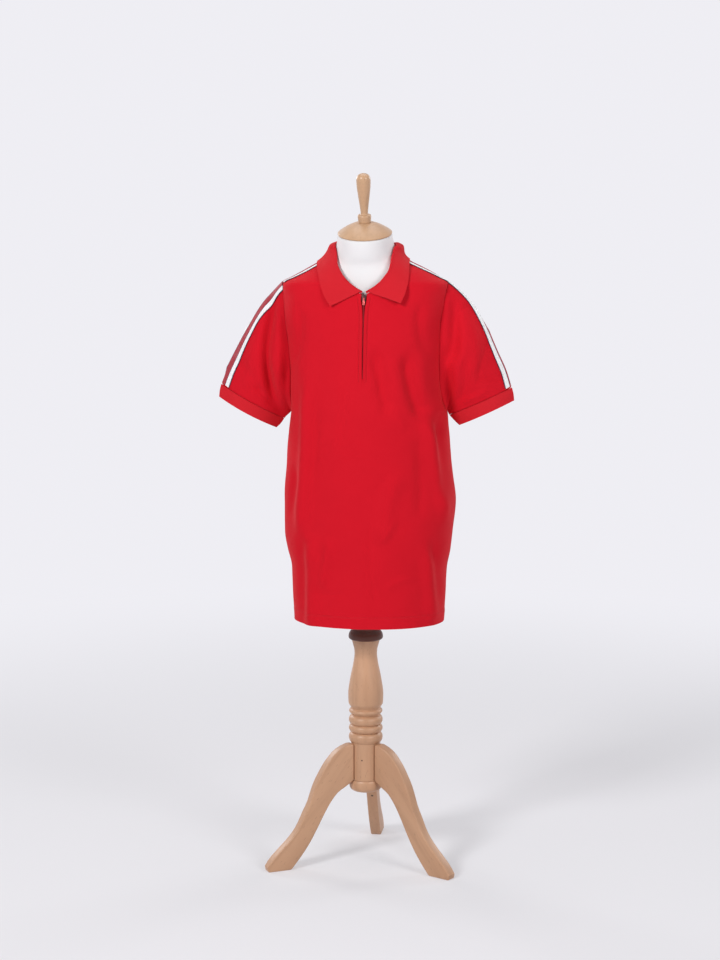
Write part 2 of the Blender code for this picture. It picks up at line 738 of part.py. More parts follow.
def tapes(side):
    line = TAPE_LINES[side]
    along = spread(TAPE_START, 0.97, 7)
    tape_strip(
        "shoulder_tape_" + side,
        lambda z, turn: shoulder_point(side, z, turn),
        [mix(NECK_SIDE_Z, SHOULDER_TIP_Z, place) for place in along],
        [line(place).shift for place in along],
    )
    along = [0.012, *spread(0, 1, SLEEVE_ROWS)[1:-1], 0.985]
    tape_strip(
        "sleeve_tape_" + side,
        lambda s, turn: sleeve_point(side, s, turn),
        along,
        [line(1 + place).shift for place in along],
        TIP_LIFT,
        FOLD_LIFT,
    )


# ---------------------------------------------------------------- zip

SLIDER_TOP_Z = 1.108
SLIDER_LENGTH = 0.0115
SLIDER_WIDTH = 0.0082
SLIDER_DEPTH = 0.0030
HINGE_Z = 1.1020
HINGE_OUT = 0.0027        # from the front's outer skin
EAR_THICKNESS = 0.0010
EAR_GAP = 0.0034          # between the two ears
EAR_RADIUS = 0.0017
HOLE_RADIUS = 0.00105
PIN_RADIUS = 0.00075
TAB_WIDTH = 0.0046
TAB_LENGTH = 0.0135
TAB_THICKNESS = 0.0009
ZIP_SLOPE = math.atan2(on_front(CENTRE_X, 1.06, 0).y - on_front(CENTRE_X, 1.105, 0).y, 1.06 - 1.105)


def zip_tape():
    xs = spread(CENTRE_X - ZIP_TAPE_WIDTH / 2, CENTRE_X + ZIP_TAPE_WIDTH / 2, 4)
    zs = spread(ZIP_TAPE_END_Z, NECK_FRONT_Z - 0.003, 9)
    inside = -(CLOTH + 0.0006)
    points = [[on_front(x, z, inside) for x in xs] for z in zs]
    normals = [
        [(on_front(x, z, 0) - on_front(x, z, inside)).normalized() for x in xs] for z in zs
    ]
    return add_part("zip_tape", cloth_mesh("zip_tape", points, normals, 0.0009), "zip_tape")


def zip_frame():
    """Turns and places a shape drawn upright at the slider's hinge so that it lies on the slope."""
    hinge = on_front(CENTRE_X, HINGE_Z, HINGE_OUT)
    return Matrix.Translation(hinge) @ Matrix.Rotation(-(math.pi - abs(ZIP_SLOPE)), 4, "X")


def box(shape, size, centre):
    place = Matrix.Translation(centre) @ Matrix.Diagonal((*size, 1))
    return bmesh.ops.create_cube(shape, size=1, matrix=place)["verts"]


def mesh_of(shape, name):
    mesh = bpy.data.meshes.new(name)
    shape.to_mesh(mesh)
    shape.free()
    return mesh


def cross_cylinder(name, radius, length, sides=16):
    """A cylinder along X through the hinge."""
    shape = bmesh.new()
    bmesh.ops.create_cone(
        shape, cap_ends=True, segments=sides, radius1=radius, radius2=radius, depth=length,
        matrix=Matrix.Rotation(math.pi / 2, 4, "Y"),
    )
    return mesh_of(shape, name)


# ---------------------------------------------------------------- dress form

# Level sections of the torso and neck. centre_y is the section's middle, lean is how much the
# section tips forward (rise per metre towards the back), power rounds it.
Ring = namedtuple("Ring", "z half front back centre_y lean power")
FORM_RINGS = [
    Ring(0.4900, 0.1050, 0.0760, 0.0800, 0.000, 0.0, 2.3),
    Ring(0.4960, 0.1150, 0.0840, 0.0860, 0.000, 0.0, 2.3),
    Ring(0.5150, 0.1200, 0.0880, 0.0890, 0.000, 0.0, 2.3),
    Ring(0.5800, 0.1230, 0.0920, 0.0900, 0.000, 0.0, 2.3),
    Ring(0.6800, 0.1200, 0.0930, 0.0860, 0.000, 0.0, 2.3),
    Ring(0.7700, 0.1140, 0.0930, 0.0800, 0.000, 0.0, 2.3),
    Ring(0.8600, 0.1220, 0.1030, 0.0870, 0.000, 0.0, 2.3),
    Ring(0.9300, 0.1290, 0.1050, 0.0930, 0.000, 0.0, 2.2),
    Ring(1.0000, 0.1310, 0.0980, 0.0930, 0.000, 0.0, 2.1),
    Ring(1.0500, 0.1350, 0.0870, 0.0870, 0.000, 0.0, 2.0),
    Ring(1.0850, 0.1400, 0.0770, 0.0780, 0.000, 0.0, 2.0),
    Ring(1.1050, 0.1430, 0.0720, 0.0730, 0.000, 0.0, 2.0),
    Ring(1.1180, 0.1435, 0.0690, 0.0710, 0.000, 0.0, 2.0),
    Ring(1.1280, 0.1400, 0.0670, 0.0690, 0.000, 0.0, 2.0),
    Ring(1.1400, 0.1270, 0.0630, 0.0650, 0.000, 0.0, 2.0),
    Ring(1.1500, 0.1099, 0.0590, 0.0610, 0.000, 0.0, 2.0),
    Ring(1.1600, 0.0908, 0.0550, 0.0560, -0.001, 0.04, 2.0),
    Ring(1.1690, 0.0738, 0.0535, 0.0525, -0.003, 0.09, 2.0),
    Ring(1.1790, 0.0610, 0.0535, 0.0510, -0.006, 0.15, 2.0),
    Ring(1.1920, 0.0555, 0.0530, 0.0510, -0.010, 0.21, 2.0),
    Ring(1.2060, 0.0528, 0.0520, 0.0510, -0.014, 0.25, 2.0),
    Ring(1.2185, 0.0508, 0.0508, 0.0508, -0.018, 0.268, 2.0),
]
CAP_CENTRE = Vector((0, -0.018, 1.2188))
FORM_SIDES = 28


def form_torso():
    shape = bmesh.new()
    rings = []
    for ring in FORM_RINGS:
        verts = []
        for i in range(FORM_SIDES):
            turn = 2 * math.pi * i / FORM_SIDES
            sine, cosine = math.sin(turn), math.cos(turn)
            depth = ring.back if sine > 0 else ring.front
            x = ring.half * math.copysign(abs(cosine) ** (2 / ring.power), cosine)
            y = ring.centre_y + depth * math.copysign(abs(sine) ** (2 / ring.power), sine)
            verts.append(shape.verts.new((x, y, ring.z + ring.lean * (y - ring.centre_y))))
        rings.append(verts)
    for low, high in zip(rings, rings[1:]):
        for i in range(FORM_SIDES):
            j = (i + 1) % FORM_SIDES
            shape.faces.new((low[i], low[j], high[j], high[i]))
    shape.faces.new(reversed(rings[0]))
    shape.faces.new(rings[-1])
    bmesh.ops.recalc_face_normals(shape, faces=shape.faces)
    return add_part("form_torso", mesh_of(shape, "form_torso"), "jersey", 60)


# ---------------------------------------------------------------- turned wood

def through(points, count):
    """A smooth curve through the points of a profile, count steps between each two."""
    keys = [0.0]
    for a, b in zip(points, points[1:]):
        keys.append(keys[-1] + math.dist(a, b))
    radii, heights = [p[0] for p in points], [p[1] for p in points]
    radius_slopes, height_slopes = slopes(keys, radii), slopes(keys, heights)
    curve = []
    for i in range(len(points) - 1):
        width = keys[i + 1] - keys[i]
        for step in range(count):
            t = step / count
            curve.append((
                hermite(t, radii[i], radii[i + 1], radius_slopes[i], radius_slopes[i + 1], width),
                hermite(t, heights[i], heights[i + 1], height_slopes[i], height_slopes[i + 1], width),
            ))
    return curve + [points[-1]]


def bead(radius_top, z_top, radius_peak, radius_low, z_low, count=4):
    """A rounded ring of a turned column, from its upper groove to just above the lower one."""
    points = []
    for i in range(count):
        t = i / count
        bulge = math.sin(math.pi * t)
        base = mix(radius_top, radius_low, t)
        points.append((base + (radius_peak - base) * bulge, mix(z_top, z_low, t)))
    return points


def turned(name, profile, finish, sides=28):
    """A solid of revolution about Z from a profile of (radius, z), top to bottom."""
    shape = bmesh.new()
    verts = [shape.verts.new((radius, 0, z)) for radius, z in profile]
    for a, b in zip(verts, verts[1:]):
        shape.edges.new((a, b))
    obj = add_part(name, mesh_of(shape, name), finish)
    screw = obj.modifiers.new("turn", "SCREW")
    screw.axis = "Z"
    screw.steps = sides
    screw.render_steps = sides
    screw.use_merge_vertices = True
    screw.merge_threshold = 0.00005
    screw.use_smooth_shade = True
    return obj


HUB_RADIUS = 0.0285
HUB_LOW_Z = 0.1634
FOOT_COLLAR_RADIUS = 0.0321


def column():
    bulb = through(
        [(0.0218, 0.4120), (0.0236, 0.3960), (0.0300, 0.3640), (0.0341, 0.3320), (0.0332, 0.3150),
         (0.0288, 0.3035)], 2)
    profile = [
        (0.0, 0.4897), (0.0300, 0.4897), (0.0300, 0.4740), (0.0265, 0.4700), (0.0262, 0.4610),
        (0.0300, 0.4560), (0.0326, 0.4510), (0.0334, 0.4460), (0.0322, 0.4415), (0.0290, 0.4380),
        (0.0244, 0.4290), (0.0223, 0.4200),
        *bulb[:-1],
        *bead(0.0288, 0.3035, 0.0323, 0.0265, 0.2882),
        *bead(0.0265, 0.2882, 0.0327, 0.0300, 0.2735),
        *bead(0.0300, 0.2735, 0.0329, 0.0285, 0.2567),
        *bead(0.0285, 0.2567, 0.0329, 0.0290, 0.2374),
        (HUB_RADIUS, 0.2364), (HUB_RADIUS, HUB_LOW_Z), (0.0, HUB_LOW_Z),
    ]
    return turned("column", profile, "beech", 20)


def foot_collar():
    top = HUB_LOW_Z - 0.0003
    profile = [
        (0.0, top), (0.0300, top), (0.0314, top - 0.0040), (FOOT_COLLAR_RADIUS, top - 0.0100),
        (0.0312, top - 0.0160), (0.0280, top - 0.0205), (0.0225, top - 0.0230), (0.0, top - 0.0236),
    ]
    return turned("foot_collar", profile, "beech", 20)


def neck_cap_and_finial():
    tilt = Matrix.Translation(CAP_CENTRE) @ Matrix.Rotation(LEAN, 4, "X")
    rim = 0.0512
    cap = turned("neck_cap", [
        (0.0, 0.0226), (0.0118, 0.0222), (0.0170, 0.0212), (0.0260, 0.0178), (0.0360, 0.0128),
        (0.0440, 0.0078), (0.0490, 0.0042), (rim, 0.0024), (0.0508, 0.0004), (0.0, 0.0004),
    ], "cap_wood", 28)
    finial = turned("finial", [
        (0.0, 0.1158), (0.0050, 0.1151), (0.0096, 0.1126), (0.0124, 0.1085), (0.0134, 0.1025),
        (0.0130, 0.0920), (0.0112, 0.0760), (0.0091, 0.0600), (0.0075, 0.0470), (0.0069, 0.0400),
        (0.0076, 0.0378), (0.0116, 0.0366), (0.0128, 0.0345), (0.0124, 0.0290), (0.0119, 0.0240),
        (0.0117, 0.0229), (0.0, 0.0229),
    ], "cap_wood", 16)
    for obj in (cap, finial):
        obj.matrix_local = tilt


# ---------------------------------------------------------------- legs

LEG_THICKNESS = 0.021
LEG_TURNS = {"leg_right": -61.5, "leg_left": 58.5, "leg_rear": 178.5}
# The leg's outline in its own plane, (distance from the axis, height). The two long curves are
# smooth through these points.
LEG_OUTER = [
    (0.0380, 0.2356), (0.0520, 0.2305), (0.0640, 0.2235), (0.0745, 0.2130), (0.0845, 0.2010),
    (0.0957, 0.1830), (0.1047, 0.1670), (0.1123, 0.1480), (0.1203, 0.1250), (0.1288, 0.1090),
    (0.1425, 0.0810), (0.1590, 0.0600), (0.1820, 0.0380), (0.1980, 0.0220), (0.2070, 0.0090),
]
LEG_INNER = [
    (0.1570, 0.0020), (0.1400, 0.0220), (0.1230, 0.0450), (0.1080, 0.0700), (0.0930, 0.0980),
    (0.0768, 0.1250), (0.0605, 0.1440), (0.0430, 0.1545),
]


def leg(name, turn):
    outline = (
        [(0.0240, 0.2356)]
        + through(LEG_OUTER, 1)
        + [(0.2095, 0.0035), (0.2085, 0.0008), (0.2055, 0.0000), (0.1605, 0.0000)]
        + through(LEG_INNER, 1)
        + [(0.0345, HUB_LOW_Z - 0.0030), (0.0330, HUB_LOW_Z + 0.0003), (0.0240, HUB_LOW_Z + 0.0003)]
    )
    shape = bmesh.new()
    face = shape.faces.new([shape.verts.new((x, -LEG_THICKNESS / 2, z)) for x, z in outline])
    moved = bmesh.ops.extrude_face_region(shape, geom=[face])["geom"]
    bmesh.ops.translate(
        shape, vec=(0, LEG_THICKNESS, 0),
        verts=[item for item in moved if isinstance(item, bmesh.types.BMVert)],
    )
    bmesh.ops.recalc_face_normals(shape, faces=shape.faces)
    obj = add_part(name, mesh_of(shape, name), "beech")
    obj.rotation_euler = (0, 0, math.radians(turn - 90))
    bevel = obj.modifiers.new("soft_edges", "BEVEL")
    bevel.width = 0.0028
    bevel.segments = 2
    bevel.angle_limit = math.radians(50)
    boolean(obj, bpy.data.objects["hub_cutter"], "DIFFERENCE")
    return obj


def hub_cutter():
    shape = bmesh.new()
    radius = HUB_RADIUS + 0.0003
    bmesh.ops.create_cone(
        shape, cap_ends=True, segments=64, radius1=radius, radius2=radius, depth=0.20,
        matrix=Matrix.Translation((0, 0, 0.20)),
    )
    add_cutter("hub_cutter", mesh_of(shape, "hub_cutter"))


# ---------------------------------------------------------------- slider and pull tab

def zip_slider():
    frame = zip_frame()
    shape = bmesh.new()
    body_top = SLIDER_TOP_Z - HINGE_Z
    box(
        shape, (SLIDER_WIDTH, SLIDER_DEPTH, SLIDER_LENGTH),
        (0, SLIDER_DEPTH / 2 + EAR_RADIUS - 0.0002, body_top - SLIDER_LENGTH / 2),
    )
    bmesh.ops.bevel(
        shape, geom=list(shape.edges), offset=0.0008, segments=2, affect="EDGES", profile=0.5,
    )
    slider = add_part("zip_slider", mesh_of(shape, "zip_slider"), "zip_metal", 30)
    slider.matrix_local = frame
    for side in (-1, 1):
        ear = bmesh.new()
        x = side * (EAR_GAP + EAR_THICKNESS) / 2
        bmesh.ops.create_cone(
            ear, cap_ends=True, segments=16, radius1=EAR_RADIUS, radius2=EAR_RADIUS,
            depth=EAR_THICKNESS,
            matrix=Matrix.Translation((x, 0, 0)) @ Matrix.Rotation(math.pi / 2, 4, "Y"),
        )
        cutter = add_cutter("ear_" + ("right" if side < 0 else "left"), mesh_of(ear, "ear"))
        cutter.matrix_local = frame
        boolean(slider, cutter, "UNION")
        foot = bmesh.new()
        box(foot, (EAR_THICKNESS, EAR_RADIUS + 0.0006, 2 * EAR_RADIUS - 0.0002),
            (x, (EAR_RADIUS + 0.0006) / 2, 0))
        base = add_cutter("ear_base_" + ("right" if side < 0 else "left"), mesh_of(foot, "ear_base"))
        base.matrix_local = frame
        boolean(slider, base, "UNION")
    hole = add_cutter("ear_hole", cross_cylinder("ear_hole", HOLE_RADIUS, 0.02))
    hole.matrix_local = frame
    boolean(slider, hole, "DIFFERENCE")


def zip_pull():
    frame = zip_frame()
    shape = bmesh.new()
    box(shape, (EAR_GAP - 0.0008, TAB_THICKNESS, 0.0045), (0, 0, -0.0016))
    pull = add_part("zip_pull", mesh_of(shape, "zip_pull"), "zip_metal", 30)
    pull.matrix_local = frame
    plate = bmesh.new()
    plate_top = -EAR_RADIUS - 0.0006
    box(plate, (TAB_WIDTH, TAB_THICKNESS, TAB_LENGTH + plate_top),
        (0, 0, (plate_top - TAB_LENGTH) / 2))
    bmesh.ops.bevel(
        plate, geom=[edge for edge in plate.edges if abs((edge.verts[0].co - edge.verts[1].co).y) > 1e-6],
        offset=0.0014, segments=3, affect="EDGES", profile=0.5,
    )
    blade = add_cutter("tab_blade", mesh_of(plate, "tab_blade"))
    blade.matrix_local = frame
    boolean(pull, blade, "UNION")
    pin_length = EAR_GAP + 2 * EAR_THICKNESS + 0.0006
    pin = add_cutter("tab_pin", cross_cylinder("tab_pin", PIN_RADIUS, pin_length, 12))
    pin.matrix_local = frame
    boolean(pull, pin, "UNION")


# ---------------------------------------------------------------- all the parts

shirt_front()
shirt_back()
for wearer_side in ("right", "left"):
    sleeve(wearer_side)
    cuff(wearer_side)
    tapes(wearer_side)
collar()
zip_tape()
zip_slider()
zip_pull()
form_torso()
neck_cap_and_finial()
column()
foot_collar()
hub_cutter()
for leg_name, leg_turn in LEG_TURNS.items():
    leg(leg_name, leg_turn)
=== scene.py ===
"""Looks of the zip-neck polo shirt on its dress form: cloth with its creases, seams and stitches,
zip, jersey and turned beech, in a pale studio.

Metres, +Z up, the front faces -Y and the wearer's left is +X. The shirt's surfaces are worked out
about the column's axis and moved to their place when they become a mesh.
"""

import math
from collections import namedtuple

import bmesh
import bpy
import numpy as np
from mathutils import Matrix, Vector


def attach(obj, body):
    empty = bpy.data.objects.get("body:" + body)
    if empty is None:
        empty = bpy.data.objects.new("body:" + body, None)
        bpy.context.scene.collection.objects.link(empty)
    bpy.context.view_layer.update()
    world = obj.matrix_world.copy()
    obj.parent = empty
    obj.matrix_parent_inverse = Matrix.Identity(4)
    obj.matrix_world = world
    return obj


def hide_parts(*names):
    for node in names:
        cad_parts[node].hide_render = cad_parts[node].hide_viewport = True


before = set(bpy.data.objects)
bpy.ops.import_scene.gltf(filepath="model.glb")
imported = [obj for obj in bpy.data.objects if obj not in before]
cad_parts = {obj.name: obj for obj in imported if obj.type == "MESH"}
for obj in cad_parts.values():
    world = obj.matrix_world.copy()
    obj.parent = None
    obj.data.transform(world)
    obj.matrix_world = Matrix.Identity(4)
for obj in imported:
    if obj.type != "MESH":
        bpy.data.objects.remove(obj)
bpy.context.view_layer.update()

# ---------------------------------------------------------------- sizes

AXIS_Y = -0.044           # the column's axis
CENTRE_X = 0.006          # the middle of the shirt's front
SEAM_GAP = 0.00012

HEM_Z = 0.482
HEM_DEPTH = 0.0225        # from the edge to the upper row of stitches
HEM_ROW_GAP = 0.0022      # between its two rows of stitches
UNDERARM_Z = 0.885
SHOULDER_TIP_Z = 1.127
NECK_SIDE_Z = 1.177
NECK_SIDE_X = 0.0695
NECK_FRONT_Z = 1.108
NECK_BACK_Z = 1.160
ZIP_END_Z = 0.9525

PIQUE_THICKNESS = 0.0013
RIB_THICKNESS = 0.0018    # collar and cuffs
TAPE_THICKNESS = 0.0008
ZIP_TAPE_THICKNESS = 0.0007
TAPE_WIDTH = 0.036
TAPE_OUT = 0.0016         # from the cloth to the tape's outer face

BODY = "shirt_on_stand"
PULL = "pull_tab"
SIGN = {"right": -1, "left": 1}


# ---------------------------------------------------------------- helpers

def deselect():
    for obj in bpy.context.selected_objects:
        obj.select_set(False)


def select_only(piece):
    deselect()
    piece.select_set(True)
    bpy.context.view_layer.objects.active = piece


def add_object(name, data):
    made = bpy.data.objects.new(name, data)
    bpy.context.scene.collection.objects.link(made)
    return made


def start_piece(name, primitive, scale=(1, 1, 1), **sizes):
    """A primitive, alone in the selection, with its place, turn and scale put into its mesh."""
    deselect()
    primitive(**sizes)
    piece = bpy.context.object
    piece.name = name
    piece.scale = scale
    bpy.ops.object.transform_apply(location=True, rotation=True, scale=True)
    return piece


def mesh_of(name, verts, faces, smooth=False):
    mesh = bpy.data.meshes.new(name)
    mesh.from_pydata(verts, [], faces)
    mesh.polygons.foreach_set("use_smooth", np.full(len(faces), smooth))
    return mesh


def dress(piece, finish, body=BODY):
    """Gives a finished piece its material and slot, and lets it ride on its body."""
    piece.data.materials.append(finish)
    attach(piece, body)


def ramp(value, start, end):
    """0 up to start and 1 from end on, smooth between. Start may be the higher of the two."""
    t = np.clip((value - start) / (end - start), 0.0, 1.0)
    return t * t * (3 - 2 * t)


def mix(a, b, t):
    return a + (b - a) * t


def spread(start, end, count):
    return [mix(start, end, i / count) for i in range(count + 1)]


def stack(x, y, z):
    return np.stack(np.broadcast_arrays(x, y, z), -1).astype(float)


def unit(vectors):
    return vectors / np.maximum(np.linalg.norm(vectors, axis=-1, keepdims=True), 1e-12)


def run_along(points):
    """How far along its line each point lies. Lines run down the first axis."""
    steps = np.linalg.norm(np.diff(points, axis=0), axis=-1)
    return np.concatenate([np.zeros((1, *steps.shape[1:])), np.cumsum(steps, axis=0)])


def at_reach(here, reach, line):
    """The points at these distances along a line whose own points lie at reach."""
    return np.stack([np.interp(here, reach, column) for column in line.T], -1)


def smooth_table(rows):
    """A function of the first column that gives whole rows, each column smoothly interpolated."""
    table = np.array(rows, float)
    keys = table[:, 0]
    steps = np.diff(table, axis=0) / np.diff(keys)[:, None]
    product, total = steps[:-1] * steps[1:], steps[:-1] + steps[1:]
    inner = np.where(product > 0, 2 * product / np.where(total == 0, 1, total), 0)
    slope = np.vstack([steps[:1], inner, steps[-1:]])

    def rows_at(key):
        key = np.clip(np.asarray(key, float), keys[0], keys[-1])
        i = np.clip(np.searchsorted(keys, key, side="right") - 1, 0, len(keys) - 2)
        width = (keys[i + 1] - keys[i])[..., None]
        t = (key[..., None] - keys[i][..., None]) / width
        found = (
            (1 + 2 * t) * (1 - t) ** 2 * table[i] + t * (1 - t) ** 2 * width * slope[i]
            + t * t * (3 - 2 * t) * table[i + 1] + t * t * (t - 1) * width * slope[i + 1]
        )
        return type(rows[0])(*np.moveaxis(found, -1, 0))

    return rows_at


# ---------------------------------------------------------------- camera, light, floor

BACKDROP = (0.862, 0.855, 0.900)
CAMERA_AWAY = 4.0         # from the column's axis, in plan
CAMERA_Z = 1.298
CAMERA_TURN = math.radians(6.1)
CAMERA_TILT = math.radians(90 - 7.8)
CAMERA_ASIDE = 0.0028     # radians, which bring the column right of the picture's middle

Lamp = namedtuple("Lamp", "name place target size power")
LAMPS = [
    Lamp("key_light", (-2.3, -3.6, 3.1), (0, 0, 0.85), 1.1, 152),
    Lamp("fill_light", (3.0, -2.7, 2.5), (0, 0, 0.95), 1.6, 76),
    Lamp("top_light", (0, 0.4, 4.0), (0, 0, 0.85), 2.6, 42),
    Lamp("back_light_right", (-3.0, 2.8, 2.4), (0, 0, 0.85), 1.6, 55),
    Lamp("back_light_left", (3.0, 2.8, 2.4), (0, 0, 0.85), 1.6, 45),
]


def studio():
    """The camera where the photographer stood, soft lights and a seamless pale floor."""
    camera = add_object("camera", bpy.data.cameras.new("camera"))
    camera.location = (
        CAMERA_AWAY * math.sin(CAMERA_TURN), AXIS_Y - CAMERA_AWAY * math.cos(CAMERA_TURN), CAMERA_Z,
    )
    camera.rotation_euler = (CAMERA_TILT, 0, CAMERA_TURN + CAMERA_ASIDE)
    camera.data.lens = 79.1
    camera.data.sensor_width = 36
    bpy.context.scene.camera = camera
    bpy.context.scene.view_settings.view_transform = "Standard"

    for lamp in LAMPS:
        light = bpy.data.lights.new(lamp.name, "AREA")
        light.shape = "SQUARE"
        light.size = lamp.size
        light.energy = lamp.power
        made = add_object(lamp.name, light)
        made.location = lamp.place
        way = Vector(lamp.target) - Vector(lamp.place)
        made.rotation_euler = way.to_track_quat("-Z", "Y").to_euler()

    world = bpy.data.worlds.new("studio_air")
    bpy.context.scene.world = world
    world.use_nodes = True
    world.node_tree.nodes["Background"].inputs["Color"].default_value = (*BACKDROP, 1)
    world.cycles_visibility.diffuse = False

    floor = start_piece("floor", bpy.ops.mesh.primitive_circle_add, vertices=96, radius=14,
                        fill_type="NGON", location=(0, 0, 0))
    floor.data.materials.append(paper_finish())


# ---------------------------------------------------------------- nodes of a material

class Value:
    """A material's number at each point. Its operators add Math nodes."""

    def __init__(self, finish, socket):
        self.finish, self.socket = finish, socket

    def maths(self, operation, *others):
        return self.finish.add(
            "ShaderNodeMath", dict(enumerate((self, *others))), {"operation": operation},
        )

    def __add__(self, other):
        return self.maths("ADD", other)

    __radd__ = __add__

    def __sub__(self, other):
        return self.maths("SUBTRACT", other)

    def __rsub__(self, other):
        return self.finish.add("ShaderNodeMath", {0: other, 1: self}, {"operation": "SUBTRACT"})

    def __mul__(self, other):
        return self.maths("MULTIPLY", other)

    __rmul__ = __mul__

    def wave(self, length):
        """Cosine of this many metres over a wavelength."""
        return (self * (2 * math.pi / length)).maths("COSINE")

    def size(self):
        return self.maths("ABSOLUTE")

    def over(self, low, high):
        """0 below low, 1 above high, smooth between."""
        return self.finish.add(
            "ShaderNodeMapRange", {"Value": self, "From Min": low, "From Max": high},
            {"interpolation_type": "SMOOTHSTEP"},
        )


class Finish:
    """One material: a Principled shader and the nodes that feed it."""

    def __init__(self, name, colour, roughness, **uniform):
        self.material = bpy.data.materials.new(name)
        self.material.use_nodes = True
        self.tree = self.material.node_tree
        self.shader = self.tree.nodes["Principled BSDF"]
        self.set("Base Color", (*colour, 1))
        self.set("Roughness", roughness)
        for key, value in uniform.items():
            self.set(key.replace("_", " ").title().replace("Ior", "IOR"), value)

    def set(self, name, value):
        """Sets or links a socket of the shader."""
        self.feed(self.shader.inputs[name], value)

    def feed(self, socket, value):
        if isinstance(value, Value):
            self.tree.links.new(value.socket, socket)
        else:
            socket.default_value = value

    def add(self, kind, inputs=None, settings=None, output=0):
        """A node with its settings, the values or links of its sockets, and one output."""
        node = self.tree.nodes.new(kind)
        for key, value in (settings or {}).items():
            setattr(node, key, value)
        for key, value in (inputs or {}).items():
            self.feed(node.inputs[key], value)
        return Value(self, node.outputs[output])

    def place(self, stretch=(1, 1, 1), turn=(0, 0, 0)):
        """Object coordinates for a pattern that is turned, and stretched along its own axes."""
        here = self.add("ShaderNodeTexCoord", output="Object")
        return self.add("ShaderNodeMapping", {
            "Vector": here, "Scale": stretch, "Rotation": turn,
        }, {"vector_type": "TEXTURE"})

    def along_cloth(self, scale=(1, 1, 1)):
        """The cloth's own coordinates in metres, across and along the knit."""
        here = self.add("ShaderNodeUVMap", settings={"uv_map": "cloth"})
        return self.add("ShaderNodeMapping", {"Vector": here, "Scale": scale})

    def split(self, vector):
        return [
            self.add("ShaderNodeSeparateXYZ", {"Vector": vector}, output=axis) for axis in "XYZ"
        ]

    def noise(self, vector, scale, detail=3, roughness=0.5):
        return self.add("ShaderNodeTexNoise", {
            "Vector": vector, "Scale": scale, "Detail": detail, "Roughness": roughness,
        })

    def mix(self, share, a, b):
        """Colour a where share is 0, b where it is 1."""
        a, b = (c if isinstance(c, Value) else (*c, 1) for c in (a, b))
        return self.add("ShaderNodeMix", {0: share, 6: a, 7: b}, {"data_type": "RGBA"}, output=2)

    def relief(self, height, depth, strength, under=None):
        """Bump from a height of 0 to 1 that stands for depth metres."""
        inputs = {"Height": height, "Distance": depth, "Strength": strength}
        if under is not None:
            inputs["Normal"] = under
        return self.add("ShaderNodeBump", inputs)


# ---------------------------------------------------------------- finishes

RED = (0.640, 0.0052, 0.0170)
# Deeper red, painted as shade into the hollows of the pique and between the ribs.
HOLLOW_SHADE_RED = (0.44, 0.0025, 0.010)
WHITE_KNIT = (0.80, 0.79, 0.80)
KNOT = (0.045, 0.022, 0.012)
# Dark red-brown of the painted shadow on the column's top, the shade under the shirt's hem.
PAINTED_SHADOW = (0.072, 0.008, 0.002)


def shade(colour, share):
    return tuple(min(1, channel * share) for channel in colour)


def paper_finish():
    """Seamless paper: lit near the stand, and in the backdrop's own tone far from it."""
    made = Finish("pale_floor", (0.80, 0.795, 0.825), 0.9, specular_ior_level=0.1)
    far = made.add("ShaderNodeEmission", {"Color": (*BACKDROP, 1)}, output="Emission")
    away = made.add("ShaderNodeVectorMath", {0: made.place()}, {"operation": "LENGTH"}, "Value")
    share = away.over(0.7, 2.8) * 0.6 + 0.4
    near = Value(made, made.shader.outputs["BSDF"])
    blend = made.add("ShaderNodeMixShader", {0: share, 1: near, 2: far})
    made.feed(made.tree.nodes["Material Output"].inputs["Surface"], blend)
    return made.material


def pique_finish():
    """Red pique: small raised diamonds in offset rows, a little uneven in colour."""
    made = Finish("red_pique", RED, 0.82, sheen_weight=0.16, sheen_roughness=0.4,
                  specular_ior_level=0.12)
    made.set("Sheen Tint", (1.0, 0.35, 0.32, 1))
    across, along, _ = made.split(made.along_cloth())
    cells = across.wave(0.0017) * along.wave(0.0023)
    pits = cells.over(-0.75, 0.35)
    threads = made.noise(made.along_cloth((1, 0.45, 1)), 2600, 2)
    tone = made.noise(made.place(), 9, 3)
    colour = made.mix(tone.over(0.3, 0.7) * 0.35, RED, (0.585, 0.0040, 0.015))
    # Painted shade: the hollows between the diamonds are mixed towards a deeper red.
    colour = made.mix((1 - pits) * 0.45, colour, HOLLOW_SHADE_RED)
    made.set("Base Color", colour)
    made.set("Roughness", 0.74 + threads * 0.16)
    soft = made.relief(made.noise(made.place(), 34, 3), 0.0016, 0.22)
    made.set("Normal", made.relief(pits * 0.75 + threads * 0.25, 0.00022, 0.75, soft))
    return made.material


def rib_finish():
    """Red rib knit, each rib a rounded column of stitches, a little paler than the pique."""
    made = Finish("red_rib", RED, 0.85, sheen_weight=0.14, sheen_roughness=0.4,
                  specular_ior_level=0.12)
    made.set("Sheen Tint", (1.0, 0.42, 0.38, 1))
    across, along, _ = made.split(made.along_cloth())
    ribs = across.wave(0.0021) * 0.5 + 0.5
    loops = (across * 0.35 + along).wave(0.0016) * 0.5 + 0.5
    threads = made.noise(made.along_cloth((1, 0.4, 1)), 2400, 2)
    tone = made.noise(made.place(), 14, 3)
    colour = made.mix(tone.over(0.3, 0.7) * 0.3, (0.63, 0.016, 0.026), (0.58, 0.013, 0.022))
    # Painted shade: the furrows between the ribs are mixed towards a deeper red.
    made.set("Base Color", made.mix((1 - ribs) * 0.35, colour, HOLLOW_SHADE_RED))
    made.set("Roughness", 0.78 + threads * 0.14)
    made.set("Normal", made.relief(ribs * 0.62 + loops * 0.18 + threads * 0.2, 0.00042, 0.8))
    return made.material


